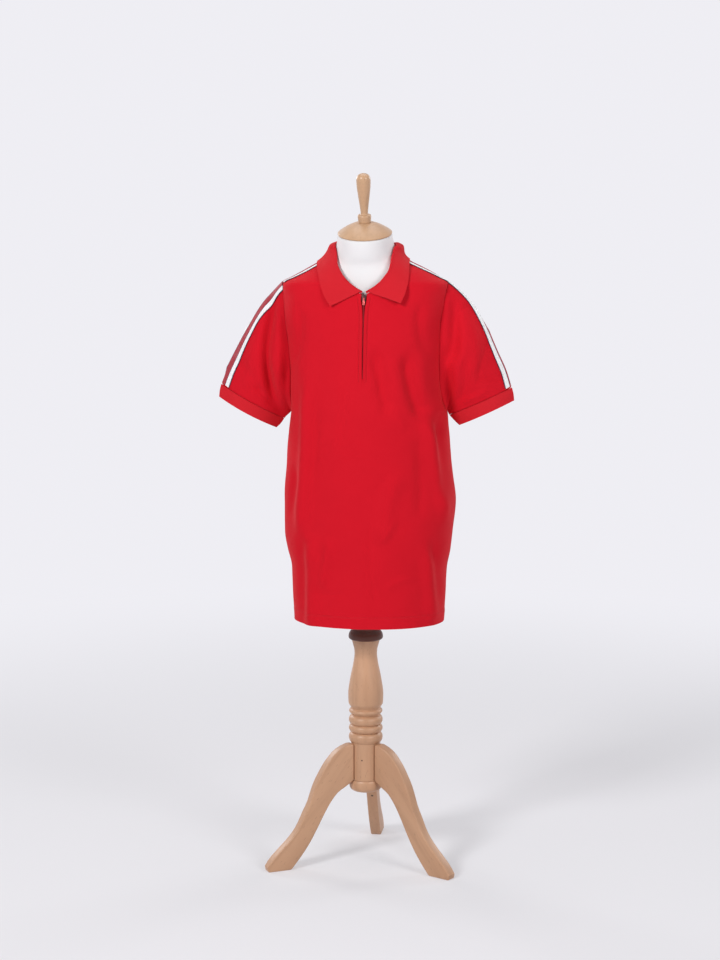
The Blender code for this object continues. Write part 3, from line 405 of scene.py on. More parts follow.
def tape_finish():
    """Woven shoulder tape: navy selvedge, white stripe, navy line, dull red middle."""
    made = Finish("striped_tape", (0.8, 0.8, 0.8), 0.7, specular_ior_level=0.3)
    across, along, _ = made.split(made.along_cloth())
    out = across.size()
    colour = made.mix(out.over(0.0062, 0.0065), (0.37, 0.036, 0.050), (0.035, 0.03, 0.085))
    colour = made.mix(out.over(0.0070, 0.0073), colour, (0.86, 0.86, 0.87))
    colour = made.mix(out.over(0.0165, 0.0169), colour, (0.045, 0.025, 0.06))
    weave = across.wave(0.0011) * 0.3 + along.wave(0.0009) * 0.2 + 0.5
    soil = made.noise(made.place(), 40, 3)
    made.set("Base Color", made.mix(soil.over(0.4, 0.75) * 0.12, colour, (0.45, 0.40, 0.42)))
    made.set("Roughness", 0.62 + weave * 0.2)
    made.set("Normal", made.relief(weave, 0.00022, 0.8))
    return made.material


def zip_tape_finish():
    made = Finish("zip_tape", (0.26, 0.006, 0.012), 0.85)
    across, along, _ = made.split(made.along_cloth())
    weave = across.wave(0.0010) * 0.3 + (across * 0.6 + along).wave(0.0008) * 0.3 + 0.5
    # Painted shade: the weave's hollows are darker in colour than its raised threads.
    made.set("Base Color", made.mix(weave, (0.20, 0.004, 0.009), (0.34, 0.008, 0.016)))
    made.set("Normal", made.relief(weave, 0.0002, 0.8))
    return made.material


def thread_finish(name, colour):
    made = Finish(name, colour, 0.6, specular_ior_level=0.35)
    twist = made.noise(made.place(), 1800, 1)
    made.set("Base Color", made.mix(twist * 0.5, colour, shade(colour, 0.6)))
    made.set("Normal", made.relief(twist, 0.0001, 0.6))
    return made.material


def metal_finish(name, colour, roughness):
    """Plated zip metal, worn brighter here and there."""
    made = Finish(name, colour, roughness, metallic=1.0)
    wear = made.noise(made.place(), 260, 4, 0.6)
    scratches = made.noise(made.place((1, 1, 6)), 2500, 2)
    made.set("Base Color", made.mix(wear.over(0.48, 0.70), colour, shade(colour, 1.9)))
    made.set("Roughness", roughness + scratches * 0.22 - wear * 0.08)
    made.set("Normal", made.relief(scratches, 0.00005, 0.4))
    return made.material


def jersey_finish():
    """White jersey drawn tight over the form: fine upright columns of knit."""
    made = Finish("white_jersey", WHITE_KNIT, 0.9, sheen_weight=0.10, specular_ior_level=0.2)
    x, y, z = made.split(made.place())
    turn = (y - AXIS_Y).maths("ARCTAN2", x)
    wales = (turn * 0.055).wave(0.0013) * 0.5 + 0.5
    loops = z.wave(0.0011) * 0.5 + 0.5
    tone = made.noise(made.place(), 16, 3)
    made.set("Base Color", made.mix(tone.over(0.35, 0.75) * 0.25, WHITE_KNIT, (0.74, 0.73, 0.735)))
    soft = made.relief(made.noise(made.place(), 60, 2), 0.0004, 0.2)
    made.set("Normal", made.relief(wales * 0.6 + loops * 0.4, 0.00012, 0.5, soft))
    return made.material


def wood_finish(name, light, dark, turn=(0, 0, 0), knots=(), gloss=0.42, shadow_band=None):
    """Beech: soft long grain, short dark flecks, a satin lacquer, and a few small dark knots.

    The last argument gives two heights. Above them the wood is darkened by a painted shadow: the shade
    that the shirt's hem casts on the column's top.
    """
    made = Finish(name, light, gloss, coat_weight=0.12, coat_roughness=0.3, specular_ior_level=0.4)
    grain = made.noise(made.place((1, 1, 14), turn), 60, 5, 0.6)
    broad = made.noise(made.place((1, 1, 5), turn), 13, 3, 0.55)
    pores = made.noise(made.place((1, 1, 20), turn), 620, 2, 0.5)
    flecks = made.add("ShaderNodeTexVoronoi", {
        "Vector": made.place((1, 1, 6), turn), "Scale": 330, "Randomness": 1.0,
    })
    fleck = (1 - flecks.over(0.10, 0.24)) * pores.over(0.42, 0.60)
    colour = made.mix(broad.over(0.32, 0.70) * 0.8, light, dark)
    colour = made.mix(grain.over(0.42, 0.68) * 0.35, colour, shade(dark, 0.78))
    colour = made.mix(fleck * 0.45, colour, shade(dark, 0.42))
    here = made.place()
    for centre, radius in knots:
        away = made.add("ShaderNodeVectorMath", {0: here, 1: centre}, {"operation": "DISTANCE"}, "Value")
        outside = (away + grain * (radius * 0.6)).over(radius * 0.7, radius * 1.35)
        colour = made.mix(1 - outside, colour, KNOT)
    # Painted shadow: above these heights the colour goes almost all the way to the dark red-brown, for
    # the shade under the shirt's hem.
    if shadow_band:
        height = made.split(here)[2] + grain * 0.0008
        colour = made.mix(height.over(*shadow_band) * 0.96, colour, PAINTED_SHADOW)
    made.set("Base Color", colour)
    made.set("Roughness", gloss - 0.06 + grain * 0.18)
    made.set("Normal", made.relief(grain * 0.7 + pores * 0.3, 0.00025, 0.35))
    return made.material


# ---------------------------------------------------------------- the shirt's body

# Level sections from the hem up: the side edges of the two panels, the depths at the middle, and
# the power that rounds the section.
Section = namedtuple("Section", "z left right front back power")
body_section = smooth_table([
    Section(0.482, -0.1375, 0.1510, 0.113, 0.106, 0.47),
    Section(0.505, -0.1390, 0.1525, 0.113, 0.106, 0.47),
    Section(0.536, -0.1405, 0.1540, 0.113, 0.106, 0.47),
    Section(0.583, -0.1420, 0.1560, 0.114, 0.106, 0.46),
    Section(0.618, -0.1500, 0.1625, 0.116, 0.106, 0.46),
    Section(0.653, -0.1555, 0.1665, 0.117, 0.106, 0.46),
    Section(0.711, -0.1560, 0.1720, 0.118, 0.105, 0.46),
    Section(0.792, -0.1507, 0.1635, 0.120, 0.105, 0.46),
    Section(0.850, -0.1466, 0.1590, 0.121, 0.107, 0.46),
    Section(0.885, -0.1420, 0.1550, 0.121, 0.109, 0.47),
    Section(0.905, -0.1400, 0.1480, 0.120, 0.110, 0.48),
    Section(0.950, -0.1390, 0.1425, 0.118, 0.111, 0.50),
    Section(1.000, -0.1410, 0.1420, 0.113, 0.110, 0.54),
    Section(1.050, -0.1480, 0.1440, 0.105, 0.105, 0.58),
    Section(1.090, -0.1525, 0.1495, 0.095, 0.098, 0.58),
    Section(1.112, -0.1550, 0.1535, 0.088, 0.092, 0.57),
    Section(1.127, -0.1570, 0.1565, 0.082, 0.086, 0.54),
    Section(1.136, -0.1410, 0.1420, 0.077, 0.081, 0.60),
    Section(1.146, -0.1225, 0.1255, 0.071, 0.076, 0.66),
    Section(1.156, -0.1050, 0.1060, 0.064, 0.070, 0.68),
    Section(1.166, -0.0870, 0.0855, 0.057, 0.064, 0.66),
    Section(1.177, -0.0700, 0.0695, 0.050, 0.057, 0.60),
])
ROUNDNESS = 2.15
ARMHOLE_DEPTH = 0.042     # half its width, from front to back
ARMHOLE_POWER = 0.70      # rounds the section beside an armhole
ARMHOLE_END = 0.70        # where a panel's edge turns from armhole to shoulder seam
VENT_TOP_Z = 0.506        # above the vents at the hem's sides
VENT_SPREAD = 0.004

Slit = namedtuple("Slit", "z width")
slit_at = smooth_table([
    Slit(0.952, 0.0012), Slit(1.055, 0.0022), Slit(1.084, 0.0050), Slit(1.096, 0.0098),
    Slit(1.108, 0.0104),
])

# Folds and creases, as lines in the front or back view from (x0, z0) to (x1, z1) that bow sideways
# by bow. A ridge's height is above zero, a trough's below, and width is how fast it falls away.
Fold = namedtuple("Fold", "x0 z0 x1 z1 bow height width")
FOLD_FADE = 0.18          # share of its length over which a fold fades in and out
FRONT_FOLDS = [
    Fold(-0.100, 0.932, -0.117, 0.659, 0.004, 0.0124, 0.0125),
    Fold(-0.093, 0.640, -0.094, 0.478, 0.000, 0.0100, 0.015),
    Fold(-0.115, 0.660, -0.112, 0.490, 0.003, -0.0045, 0.010),
    Fold(0.1217, 0.870, 0.158, 0.690, 0.004, 0.0142, 0.0115),
    Fold(0.144, 0.870, 0.154, 0.730, -0.002, -0.0108, 0.009),
    Fold(0.1265, 0.620, 0.1363, 0.490, 0.000, 0.0095, 0.012),
    Fold(0.0286, 1.002, 0.050, 0.890, 0.004, -0.0076, 0.013),
    Fold(0.088, 0.990, 0.116, 0.880, -0.004, -0.0108, 0.013),
    Fold(0.068, 0.770, 0.042, 0.650, -0.003, 0.0054, 0.016),
    Fold(-0.056, 0.645, -0.073, 0.560, 0.000, 0.0054, 0.014),
    Fold(0.024, 0.985, 0.040, 0.925, 0.003, -0.0022, 0.0045),
    Fold(-0.028, 0.950, -0.034, 0.840, 0.002, -0.0015, 0.006),
    Fold(-0.086, 0.900, -0.092, 0.760, 0.003, -0.0030, 0.008),
    Fold(-0.052, 0.822, -0.036, 0.860, 0.000, 0.0014, 0.005),
    Fold(0.066, 0.690, 0.042, 0.650, 0.002, 0.0024, 0.005),
    Fold(0.022, 0.660, 0.030, 0.530, -0.004, -0.0022, 0.010),
    Fold(-0.060, 0.640, -0.070, 0.565, 0.001, 0.0022, 0.0045),
    Fold(0.052, 0.560, 0.100, 0.578, 0.004, 0.0016, 0.006),
    Fold(-0.042, 0.826, 0.020, 0.826, 0.001, 0.0007, 0.0022),
    Fold(-0.042, 0.8085, 0.016, 0.809, -0.001, 0.0007, 0.0022),
    Fold(-0.070, 0.544, -0.030, 0.546, 0.001, -0.0008, 0.003),
    Fold(-0.128, 0.780, -0.140, 0.690, 0.003, -0.0054, 0.009),
    Fold(0.136, 0.640, 0.146, 0.520, -0.002, -0.0054, 0.008),
    Fold(0.108, 0.830, 0.112, 0.700, 0.003, -0.0030, 0.010),
    Fold(-0.118, 1.075, -0.128, 0.985, 0.006, -0.0041, 0.010),
    Fold(0.110, 1.085, 0.124, 1.000, -0.006, -0.0041, 0.010),
    Fold(0.060, 0.905, 0.082, 0.860, 0.002, 0.0022, 0.008),
]
BACK_FOLDS = [
    Fold(-0.060, 0.960, -0.085, 0.590, 0.006, -0.0095, 0.020),
    Fold(0.050, 0.940, 0.072, 0.500, -0.006, -0.0095, 0.020),
    Fold(0.000, 0.930, 0.010, 0.490, 0.004, 0.0068, 0.026),
    Fold(-0.112, 0.860, -0.113, 0.500, 0.004, 0.0095, 0.015),
    Fold(0.112, 0.850, 0.120, 0.490, -0.003, 0.0095, 0.015),
    Fold(-0.030, 0.800, -0.042, 0.560, 0.004, 0.0027, 0.010),
    Fold(0.040, 0.720, 0.030, 0.520, -0.003, -0.0024, 0.009),
    Fold(-0.098, 1.060, -0.072, 0.930, 0.008, -0.0041, 0.012),
    Fold(0.098, 1.060, 0.078, 0.930, -0.008, -0.0041, 0.012),
    Fold(-0.128, 0.700, -0.124, 0.520, 0.002, -0.0049, 0.008),
    Fold(0.134, 0.720, 0.132, 0.530, 0.002, -0.0049, 0.008),
    Fold(0.018, 0.690, 0.050, 0.640, 0.002, 0.0019, 0.006),
    Fold(-0.010, 1.090, -0.030, 1.000, 0.005, -0.0022, 0.012),
    Fold(0.022, 1.095, 0.040, 0.990, -0.005, -0.0022, 0.012),
]


def fold_height(folds, x, z):
    """How far the folds push the cloth out at these places."""
    total = np.zeros(np.broadcast(x, z).shape)
    for fold in folds:
        along_x, along_z = fold.x1 - fold.x0, fold.z1 - fold.z0
        length = math.hypot(along_x, along_z)
        t = ((x - fold.x0) * along_x + (z - fold.z0) * along_z) / length**2
        side = (along_x * (z - fold.z0) - along_z * (x - fold.x0)) / length
        side = side - fold.bow * 4 * t * (1 - t)
        fade = ramp(t, -FOLD_FADE, FOLD_FADE) * ramp(t, 1 + FOLD_FADE, 1 - FOLD_FADE)
        total += fold.height * fade * np.exp(-((side / fold.width) ** 2))
    return total


FRONT_RIPPLE, BACK_RIPPLE, SLEEVE_RIPPLE = 0.7, 2.9, 4.0


def ripple(x, z, seed):
    """The small unevenness of knit that hangs free."""
    return 0.00042 * (
        np.sin(61 * x + 23 * z + seed) * np.sin(47 * z - 19 * x + 2.1 * seed)
        + 0.7 * np.sin(118 * x - 33 * z + 3 * seed) * np.sin(71 * z + 1.3 * seed)
    )


def armhole_height(turn):
    middle, half = (SHOULDER_TIP_Z + UNDERARM_Z) / 2, (SHOULDER_TIP_Z - UNDERARM_Z) / 2
    return middle + half * np.cos(turn)


def edge_depth(z):
    up = np.clip((z - UNDERARM_Z) / (SHOULDER_TIP_Z - UNDERARM_Z), 0, 1)
    vent = VENT_SPREAD * np.clip((VENT_TOP_Z - z) / (VENT_TOP_Z - HEM_Z), 0, 1) ** 2
    return ARMHOLE_DEPTH * np.sqrt(4 * up * (1 - up)) + vent


def soft_edge_depth(z):
    """The armhole's depth as the cloth away from the seam takes it up, with no crease at its ends."""
    return ARMHOLE_DEPTH * ramp(z, UNDERARM_Z - 0.035, UNDERARM_Z + 0.095) * ramp(z, 1.160, 1.065)


def middle_and_half(row):
    return (row.left + row.right) / 2, (row.right - row.left) / 2


def across_of(x, z):
    middle, half = middle_and_half(body_section(z))
    return (x - middle) / half


def body_point(across, z, front, out=0.0):
    """Points of the shirt's body: across runs from -1 at one edge to 1 at the other."""
    row = body_section(z)
    middle, half = middle_and_half(row)
    across = np.clip(across, -1.0, 1.0)
    depth = np.where(front, row.front, row.back)
    beside_sleeve = ramp(z, 0.90, 0.96) * ramp(z, 1.120, 1.100) * ramp(np.abs(across), 0.80, 1.0)
    power = mix(row.power, ARMHOLE_POWER, beside_sleeve)
    bulge = np.maximum(1 - np.abs(across) ** ROUNDNESS, 0.0) ** power
    edge = mix(soft_edge_depth(z), edge_depth(z), np.abs(across) ** 14)
    x = middle + half * across
    y = edge + (depth - edge) * bulge
    folds = np.where(front, fold_height(FRONT_FOLDS, x, z), fold_height(BACK_FOLDS, x, z))
    push = out + folds * (1 - np.abs(across) ** 10)
    facing = unit(np.stack(np.broadcast_arrays(across / half, np.maximum(bulge, 0.02) / depth), -1))
    x = x + facing[..., 0] * push
    y = y + facing[..., 1] * push
    return stack(x, np.where(front, -y, y), z)


def on_front(x, z, out):
    return body_point(across_of(x, z), z, True, out)


def neckline(u, front):
    turn = np.abs(u) * math.pi / 2
    lowest, middle = (NECK_FRONT_Z, CENTRE_X) if front else (NECK_BACK_Z, 0.0)
    x = mix(middle, np.copysign(NECK_SIDE_X, u), np.sin(turn))
    return x, mix(lowest, NECK_SIDE_Z, (1 - np.cos(turn)) ** (0.62 if front else 0.9))


def edge_height(w):
    """Height of a panel's side edge, w from 0 at the underarm to 1 at the neck."""
    shoulder = mix(SHOULDER_TIP_Z, NECK_SIDE_Z, (w - ARMHOLE_END) / (1 - ARMHOLE_END))
    return np.where(w < ARMHOLE_END, armhole_height(math.pi * (1 - w / ARMHOLE_END)), shoulder)


def panel_place(u, v, front):
    """The x and the height of a panel's points, v from 0 at the hem to 2 at the neck."""
    level = np.sin(u * math.pi / 2)
    w = np.maximum(v - 1, 0)
    x_neck, z_neck = neckline(u, front)
    at_neck = across_of(x_neck, z_neck)
    upper = mix(mix(UNDERARM_Z, z_neck, w), edge_height(w), np.abs(u) ** 3)
    z = np.where(v <= 1, mix(HEM_Z, UNDERARM_Z, v), upper)
    middle, half = middle_and_half(body_section(z))
    return middle + half * mix(level, at_neck, w**1.5), z


def panel_point(u, v, front):
    x, z = panel_place(u, v, front)
    return body_point(across_of(x, z), z, front)


# ---------------------------------------------------------------- sleeves and cuffs

# Sections from the armhole (s 0) to the cuff (s 1), and along a cuff: the places of the top and the
# bottom line, and the depths to the front and to the back.
Sleeve = namedtuple("Sleeve", "s top_x top_z low_x low_z front back")
SLEEVES = {
    "right": smooth_table([
        Sleeve(0.00, -0.1570, 1.1270, -0.1420, 0.8850, 0.043, 0.043),
        Sleeve(0.12, -0.1755, 1.1090, -0.1425, 0.8835, 0.048, 0.046),
        Sleeve(0.28, -0.1975, 1.0862, -0.1435, 0.8815, 0.050, 0.046),
        Sleeve(0.50, -0.2245, 1.0455, -0.1455, 0.8790, 0.044, 0.042),
        Sleeve(0.72, -0.2500, 0.9990, -0.1485, 0.8760, 0.036, 0.036),
        Sleeve(0.88, -0.2675, 0.9610, -0.1525, 0.8725, 0.031, 0.031),
        Sleeve(1.00, -0.2775, 0.9322, -0.1568, 0.8675, 0.027, 0.028),
    ]),
    "left": smooth_table([
        Sleeve(0.00, 0.1560, 1.1270, 0.1540, 0.8850, 0.043, 0.043),
        Sleeve(0.12, 0.1735, 1.1140, 0.1542, 0.8850, 0.048, 0.046),
        Sleeve(0.28, 0.1990, 1.0910, 0.1546, 0.8848, 0.050, 0.046),
        Sleeve(0.50, 0.2280, 1.0450, 0.1552, 0.8840, 0.045, 0.042),
        Sleeve(0.72, 0.2495, 0.9985, 0.1562, 0.8832, 0.037, 0.036),
        Sleeve(0.88, 0.2670, 0.9610, 0.1575, 0.8810, 0.031, 0.031),
        Sleeve(1.00, 0.2765, 0.9310, 0.1592, 0.8775, 0.027, 0.028),
    ]),
}
CUFFS = {
    "right": smooth_table([
        Sleeve(0.0, -0.2787, 0.9317, -0.1572, 0.8669, 0.0275, 0.0285),
        Sleeve(0.5, -0.2818, 0.9200, -0.1640, 0.8572, 0.0265, 0.0270),
        Sleeve(1.0, -0.2832, 0.9076, -0.1722, 0.8494, 0.0250, 0.0255),
    ]),
    "left": smooth_table([
        Sleeve(0.0, 0.2775, 0.9305, 0.1598, 0.8768, 0.0275, 0.0285),
        Sleeve(0.5, 0.2805, 0.9185, 0.1690, 0.8668, 0.0265, 0.0270),
        Sleeve(1.0, 0.2820, 0.9062, 0.1783, 0.8580, 0.0250, 0.0255),
    ]),
}
FOLD_SHARPNESS = 1.9      # of a sleeve's top and bottom lines, 1 for an ellipse
SLEEVE_CLEAR = 0.0010     # between a sleeve and the side of the body
SLEEVE_FOLDS = {
    "right": [
        Fold(-0.1690, 1.105, -0.1720, 0.905, -0.0150, -0.0200, 0.0095),
        Fold(-0.1480, 1.085, -0.1480, 0.940, 0.000, -0.0100, 0.007),
        Fold(-0.1600, 1.070, -0.1600, 0.950, -0.003, 0.0035, 0.007),
        Fold(-0.2010, 1.050, -0.2170, 0.935, -0.006, 0.0045, 0.014),
        Fold(-0.2360, 0.975, -0.2000, 0.905, 0.006, -0.0026, 0.010),
        Fold(-0.2040, 0.930, -0.1760, 0.893, 0.000, -0.0040, 0.007),
    ],
    "left": [
        Fold(0.1657, 1.100, 0.1700, 0.985, 0.0070, -0.0150, 0.0095),
        Fold(0.1500, 1.070, 0.1570, 0.895, 0.002, -0.0180, 0.011),
        Fold(0.1996, 1.088, 0.1790, 1.073, 0.000, -0.0022, 0.004),
        Fold(0.2040, 1.050, 0.2080, 0.960, 0.006, 0.0040, 0.012),
        Fold(0.2340, 1.016, 0.2158, 0.9507, -0.003, -0.0018, 0.005),
        Fold(0.2156, 0.9471, 0.2531, 0.9420, 0.002, -0.0028, 0.0035),
        Fold(0.1900, 0.985, 0.1800, 0.905, 0.005, -0.0040, 0.010),
        Fold(0.2320, 0.925, 0.1900, 0.905, 0.000, 0.0022, 0.006),
    ],
}
BACK_SLEEVE_FOLDS = {
    "right": [
        Fold(-0.168, 1.085, -0.160, 0.900, 0.016, -0.0060, 0.010),
        Fold(-0.205, 1.040, -0.220, 0.930, 0.008, -0.0026, 0.012),
    ],
    "left": [
        Fold(0.168, 1.085, 0.162, 0.900, -0.014, -0.0060, 0.010),
        Fold(0.206, 1.045, 0.216, 0.935, -0.008, -0.0026, 0.012),
    ],
}


def oval(row, turn, push=0.0):
    """Points of a sleeve's section: turn 0 is the top line, a quarter turn the front."""
    top, low = stack(row.top_x, 0, row.top_z), stack(row.low_x, 0, row.low_z)
    half = (top - low) / 2
    length = np.linalg.norm(half, axis=-1)
    sine, cosine = np.sin(turn), np.cos(turn)
    depth = np.where(sine > 0, row.front, row.back)
    bulge = np.sign(sine) * np.abs(sine) ** FOLD_SHARPNESS
    point = (top + low) / 2 + half * cosine[..., None] + stack(0, -depth * bulge, 0)
    out = half / length[..., None] * (cosine / length)[..., None] + stack(0, -sine / depth, 0)
    return point + unit(out) * np.asarray(push)[..., None]


def armhole_point(side, turn):
    z = armhole_height(turn)
    return body_point(np.full(np.shape(z), float(SIGN[side])), z, np.sin(turn) > 0)


def body_side(side, y, z):
    """How far out in X the body's outer skin lies at this depth and height, on one side."""
    row = body_section(z)
    depth, edge = np.where(y < 0, row.front, row.back), edge_depth(z)
    bulge = np.clip((np.abs(y) - edge) / (depth - edge), 0, 1)
    across = (1 - bulge ** (1 / row.power)) ** (1 / ROUNDNESS)
    flat = row.right if side == "left" else row.left
    middle, half = middle_and_half(row)
    return np.where((bulge > 0) & (bulge < 1), middle + SIGN[side] * across * half, flat)


def sleeve_point(side, s, turn, out=0.0):
    s, turn = np.broadcast_arrays(np.asarray(s, float), np.asarray(turn, float))
    row = SLEEVES[side](s)
    plain = oval(row, turn)
    sine = np.sin(turn)
    x, z = plain[..., 0], plain[..., 2]
    folds = np.where(
        sine > 0, fold_height(SLEEVE_FOLDS[side], x, z), fold_height(BACK_SLEEVE_FOLDS[side], x, z)
    )
    fade = np.abs(sine) * ramp(s, 0, 0.2)
    push = out + (folds + ripple(x * 1.3, z * 1.2, SLEEVE_RIPPLE)) * fade
    point = oval(row, turn, push)
    start = armhole_point(side, turn) - oval(SLEEVES[side](np.zeros_like(s)), turn)
    point = point + start * ramp(s, 0.35, 0)[..., None]
    beside = np.abs(body_side(side, point[..., 1], z)) + SLEEVE_CLEAR * ramp(s, 0, 0.1)
    inside = np.abs(point[..., 0]) < beside
    point[..., 0] = np.where(inside, SIGN[side] * beside, point[..., 0])
    return point


def cuff_point(side, s, turn):
    s, turn = np.broadcast_arrays(np.asarray(s, float), np.asarray(turn, float))
    return oval(CUFFS[side](s), turn)


# ---------------------------------------------------------------- collar

# From the middle of the back (t 0) past the shoulder seam (t 0.45) to the front end (t 1): how far
# the roll rises over the seam and leans in from it, and the place of the leaf's edge.
Collar = namedtuple("Collar", "t rise lean_in edge_x edge_y edge_z")
COLLARS = {
    "right": smooth_table([
        Collar(0.00, 0.0400, -0.002, 0.0000, 0.0900, 1.1500),
        Collar(0.24, 0.0340, 0.001, -0.0600, 0.0680, 1.1560),
        Collar(0.45, 0.0232, 0.0088, -0.0905, 0.0040, 1.1650),
        Collar(0.60, 0.0120, 0.003, -0.0880, -0.0330, 1.1560),
        Collar(0.76, 0.0080, 0.000, -0.0800, -0.0660, 1.1330),
        Collar(0.90, 0.0055, 0.001, -0.0690, -0.0880, 1.1060),
        Collar(1.00, 0.0045, 0.001, -0.0560, -0.0985, 1.0870),
    ]),
    "left": smooth_table([
        Collar(0.00, 0.0400, -0.002, 0.0000, 0.0900, 1.1500),
        Collar(0.24, 0.0325, 0.004, 0.0560, 0.0680, 1.1560),
        Collar(0.45, 0.0220, 0.0094, 0.0805, 0.0040, 1.1690),
        Collar(0.60, 0.0130, -0.001, 0.0845, -0.0330, 1.1590),
        Collar(0.76, 0.0090, -0.004, 0.0865, -0.0640, 1.1370),
        Collar(0.90, 0.0060, -0.003, 0.0825, -0.0860, 1.1120),
        Collar(1.00, 0.0045, 0.000, 0.0745, -0.0965, 1.0930),
    ]),
}
COLLAR_SHOULDER = 0.45    # t at the shoulder seam
COLLAR_END = 0.055        # u of the neckline where the collar ends
COLLAR_RISE = 0.0003      # of its seam over the neckline, besides the seam's gap
ROLL_RADIUS = 0.0020
LEAF_CLEAR = 0.0023       # from the shirt to the middle of the leaf's wall
TAPE_CLEAR = 0.0009       # what the leaf is lifted more over the tapes
LEAF_BULGE = 0.0002


def clear_of_body(points, clearance):
    """The points, moved out of the shirt's body where they are nearer than clearance to it."""

    def inside(place):
        x, y, z = np.moveaxis(place, -1, 0)
        row = body_section(z)
        across = np.abs(across_of(x, z))
        edge = edge_depth(z)
        deep = np.maximum((np.abs(y) - edge) / (np.where(y < 0, row.front, row.back) - edge), 0.0)
        return 1 - across**ROUNDNESS - deep ** (1 / row.power)

    step = 2e-4
    for _ in range(6):
        slope = np.stack([
            (inside(points + shift) - inside(points - shift)) / (2 * step)
            for shift in np.eye(3) * step
        ], -1)
        steep = np.linalg.norm(slope, axis=-1)
        short = np.maximum(clearance + inside(points) / steep, 0)
        points = points - unit(slope) * short[..., None]
    return points


def collar_seam(t):
    """The neckline just above the panels, t from -1 to 1 round the back."""
    behind = abs(t) < COLLAR_SHOULDER
    if behind:
        u = abs(t) / COLLAR_SHOULDER
    else:
        u = mix(1.0, COLLAR_END, (abs(t) - COLLAR_SHOULDER) / (1 - COLLAR_SHOULDER))
    seam = panel_point(np.asarray(math.copysign(u, t)), np.asarray(2.0), not behind)
    return seam + (0, 0, SEAM_GAP + COLLAR_RISE)


def collar_profile(t):
    """Mid-line of the collar's section at t, from its seam over the roll to the leaf's edge."""
    row = COLLARS["right" if t < 0 else "left"](abs(t))
    seam = collar_seam(t)
    edge = np.array([row.edge_x, row.edge_y, row.edge_z])
    out = unit(np.array([edge[0] - seam[0], edge[1] - seam[1], 0]))
    up = np.array([0, 0, 1.0])
    seam = seam - out * RIB_THICKNESS / 2
    roll = seam - out * row.lean_in + up * row.rise
    inner = roll - (out + up) * ROLL_RADIUS
    outer = roll + (out - up) * ROLL_RADIUS
    clearance = LEAF_CLEAR + TAPE_CLEAR * ramp(abs(edge[1]), 0.040, 0.024)
    leaf = [
        clear_of_body(mix(outer, edge, along) + (up + out) * LEAF_BULGE * lift, clearance)
        for along, lift in ((0.25, 0.75), (0.50, 1.0), (0.75, 0.75), (1.0, 0.0))
    ]
    outer = clear_of_body(outer, LEAF_CLEAR)
    return np.array([seam, mix(seam, inner, 0.5), inner, roll, outer, *leaf])


# ---------------------------------------------------------------- meshes of cloth

Cloth = namedtuple("Cloth", "ending finish thickness slot")


def grid_mesh(name, points, wraps=False, missing=None, flip=False, uv=None):
    """A mesh of one skin from a grid of points, with its own coordinates in metres."""
    points = np.asarray(points, float)
    rows, columns = points.shape[:2]
    places = (points + (0, AXIS_Y, 0)).reshape(-1, 3)
    count = columns if wraps else columns - 1
    i, j = np.meshgrid(np.arange(rows - 1), np.arange(count), indexing="ij")
    if missing is not None:
        keep = ~missing(i, j)
        i, j = i[keep], j[keep]
    i, j = i.ravel(), j.ravel()
    beside = (j + 1) % columns
    corners = np.stack([
        i * columns + j, i * columns + beside, (i + 1) * columns + beside, (i + 1) * columns + j
    ], -1)
    if flip:
        corners = corners[:, ::-1]
    mesh = mesh_of(name, places.tolist(), corners.tolist(), smooth=True)
    if uv is None:
        closed = np.concatenate([points, points[:, :1]], 1) if wraps else points
        across = run_along(closed.swapaxes(0, 1)).T
        across = across - across[:, [across.shape[1] // 2]]
        uv = np.stack([across, run_along(closed)], -1)
    ends = np.where(beside == 0, j + 1, beside) if wraps else beside
    pairs = np.stack([uv[i, j], uv[i, ends], uv[i + 1, ends], uv[i + 1, j]], 1)
    if flip:
        pairs = pairs[:, ::-1]
    layer = mesh.uv_layers.new(name="cloth")
    layer.data.foreach_set("uv", pairs.astype(np.float32).ravel())
    return mesh


def cloth_piece(node, mesh, cloth, offset=-1.0, smooth=0):
    """The mesh as a piece with a wall, inwards from its outer skin, in place of a node."""
    piece = add_object(node + cloth.ending, mesh)
    if smooth:
        soft = piece.modifiers.new("soft", "SUBSURF")
        soft.levels = soft.render_levels = smooth
        soft.boundary_smooth = "PRESERVE_CORNERS"
    wall = piece.modifiers.new("wall", "SOLIDIFY")
    wall.thickness = cloth.thickness
    wall.offset = offset
    select_only(piece)
    for modifier in [m.name for m in piece.modifiers]:
        bpy.ops.object.modifier_apply(modifier=modifier)
    bpy.ops.object.shade_smooth_by_angle(angle=math.radians(55))
    dress(piece, cloth.finish)
    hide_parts(node)


def dip(distance, depth, width):
    """A sewn line's furrow at this distance from it."""
    return -depth * np.exp(-((distance / width) ** 2))


# ---------------------------------------------------------------- shirt front and back

# Distances from the slit's edge and heights over the hem, close together where the relief is fine.
ZIP_COLUMNS = [0, 0.0005, 0.0012, 0.0022, 0.0034, 0.0046, 0.0056, 0.0064, 0.0072, 0.0084, 0.0105,
               0.014, 0.019, 0.025]
HEM_ROWS = [0, 0.0008, 0.0022, 0.005, 0.009, 0.013, 0.017, 0.0195, 0.0207, 0.0216, 0.0225, 0.0234,
            0.0243, 0.0256, 0.028, 0.031]
ZIP_STITCH = 0.0065       # from the slit's edge
ZIP_STITCH_LOW_Z = ZIP_END_Z - 0.004
EDGE_METRES = 0.2         # that u or s would take from 0 to 1 at the pace it has near a sewn edge


def panel_rows():
    low = [h / (UNDERARM_Z - HEM_Z) for h in HEM_ROWS]
    return np.array(low + spread(low[-1], 1, 92)[1:] + spread(1, 2, 84)[1:])


def edge_columns(first, count):
    """Values of u from first out to 1, close together near the edge."""
    return spread(first, 0.985, count)[1:] + [0.992, 0.997, 1.0]


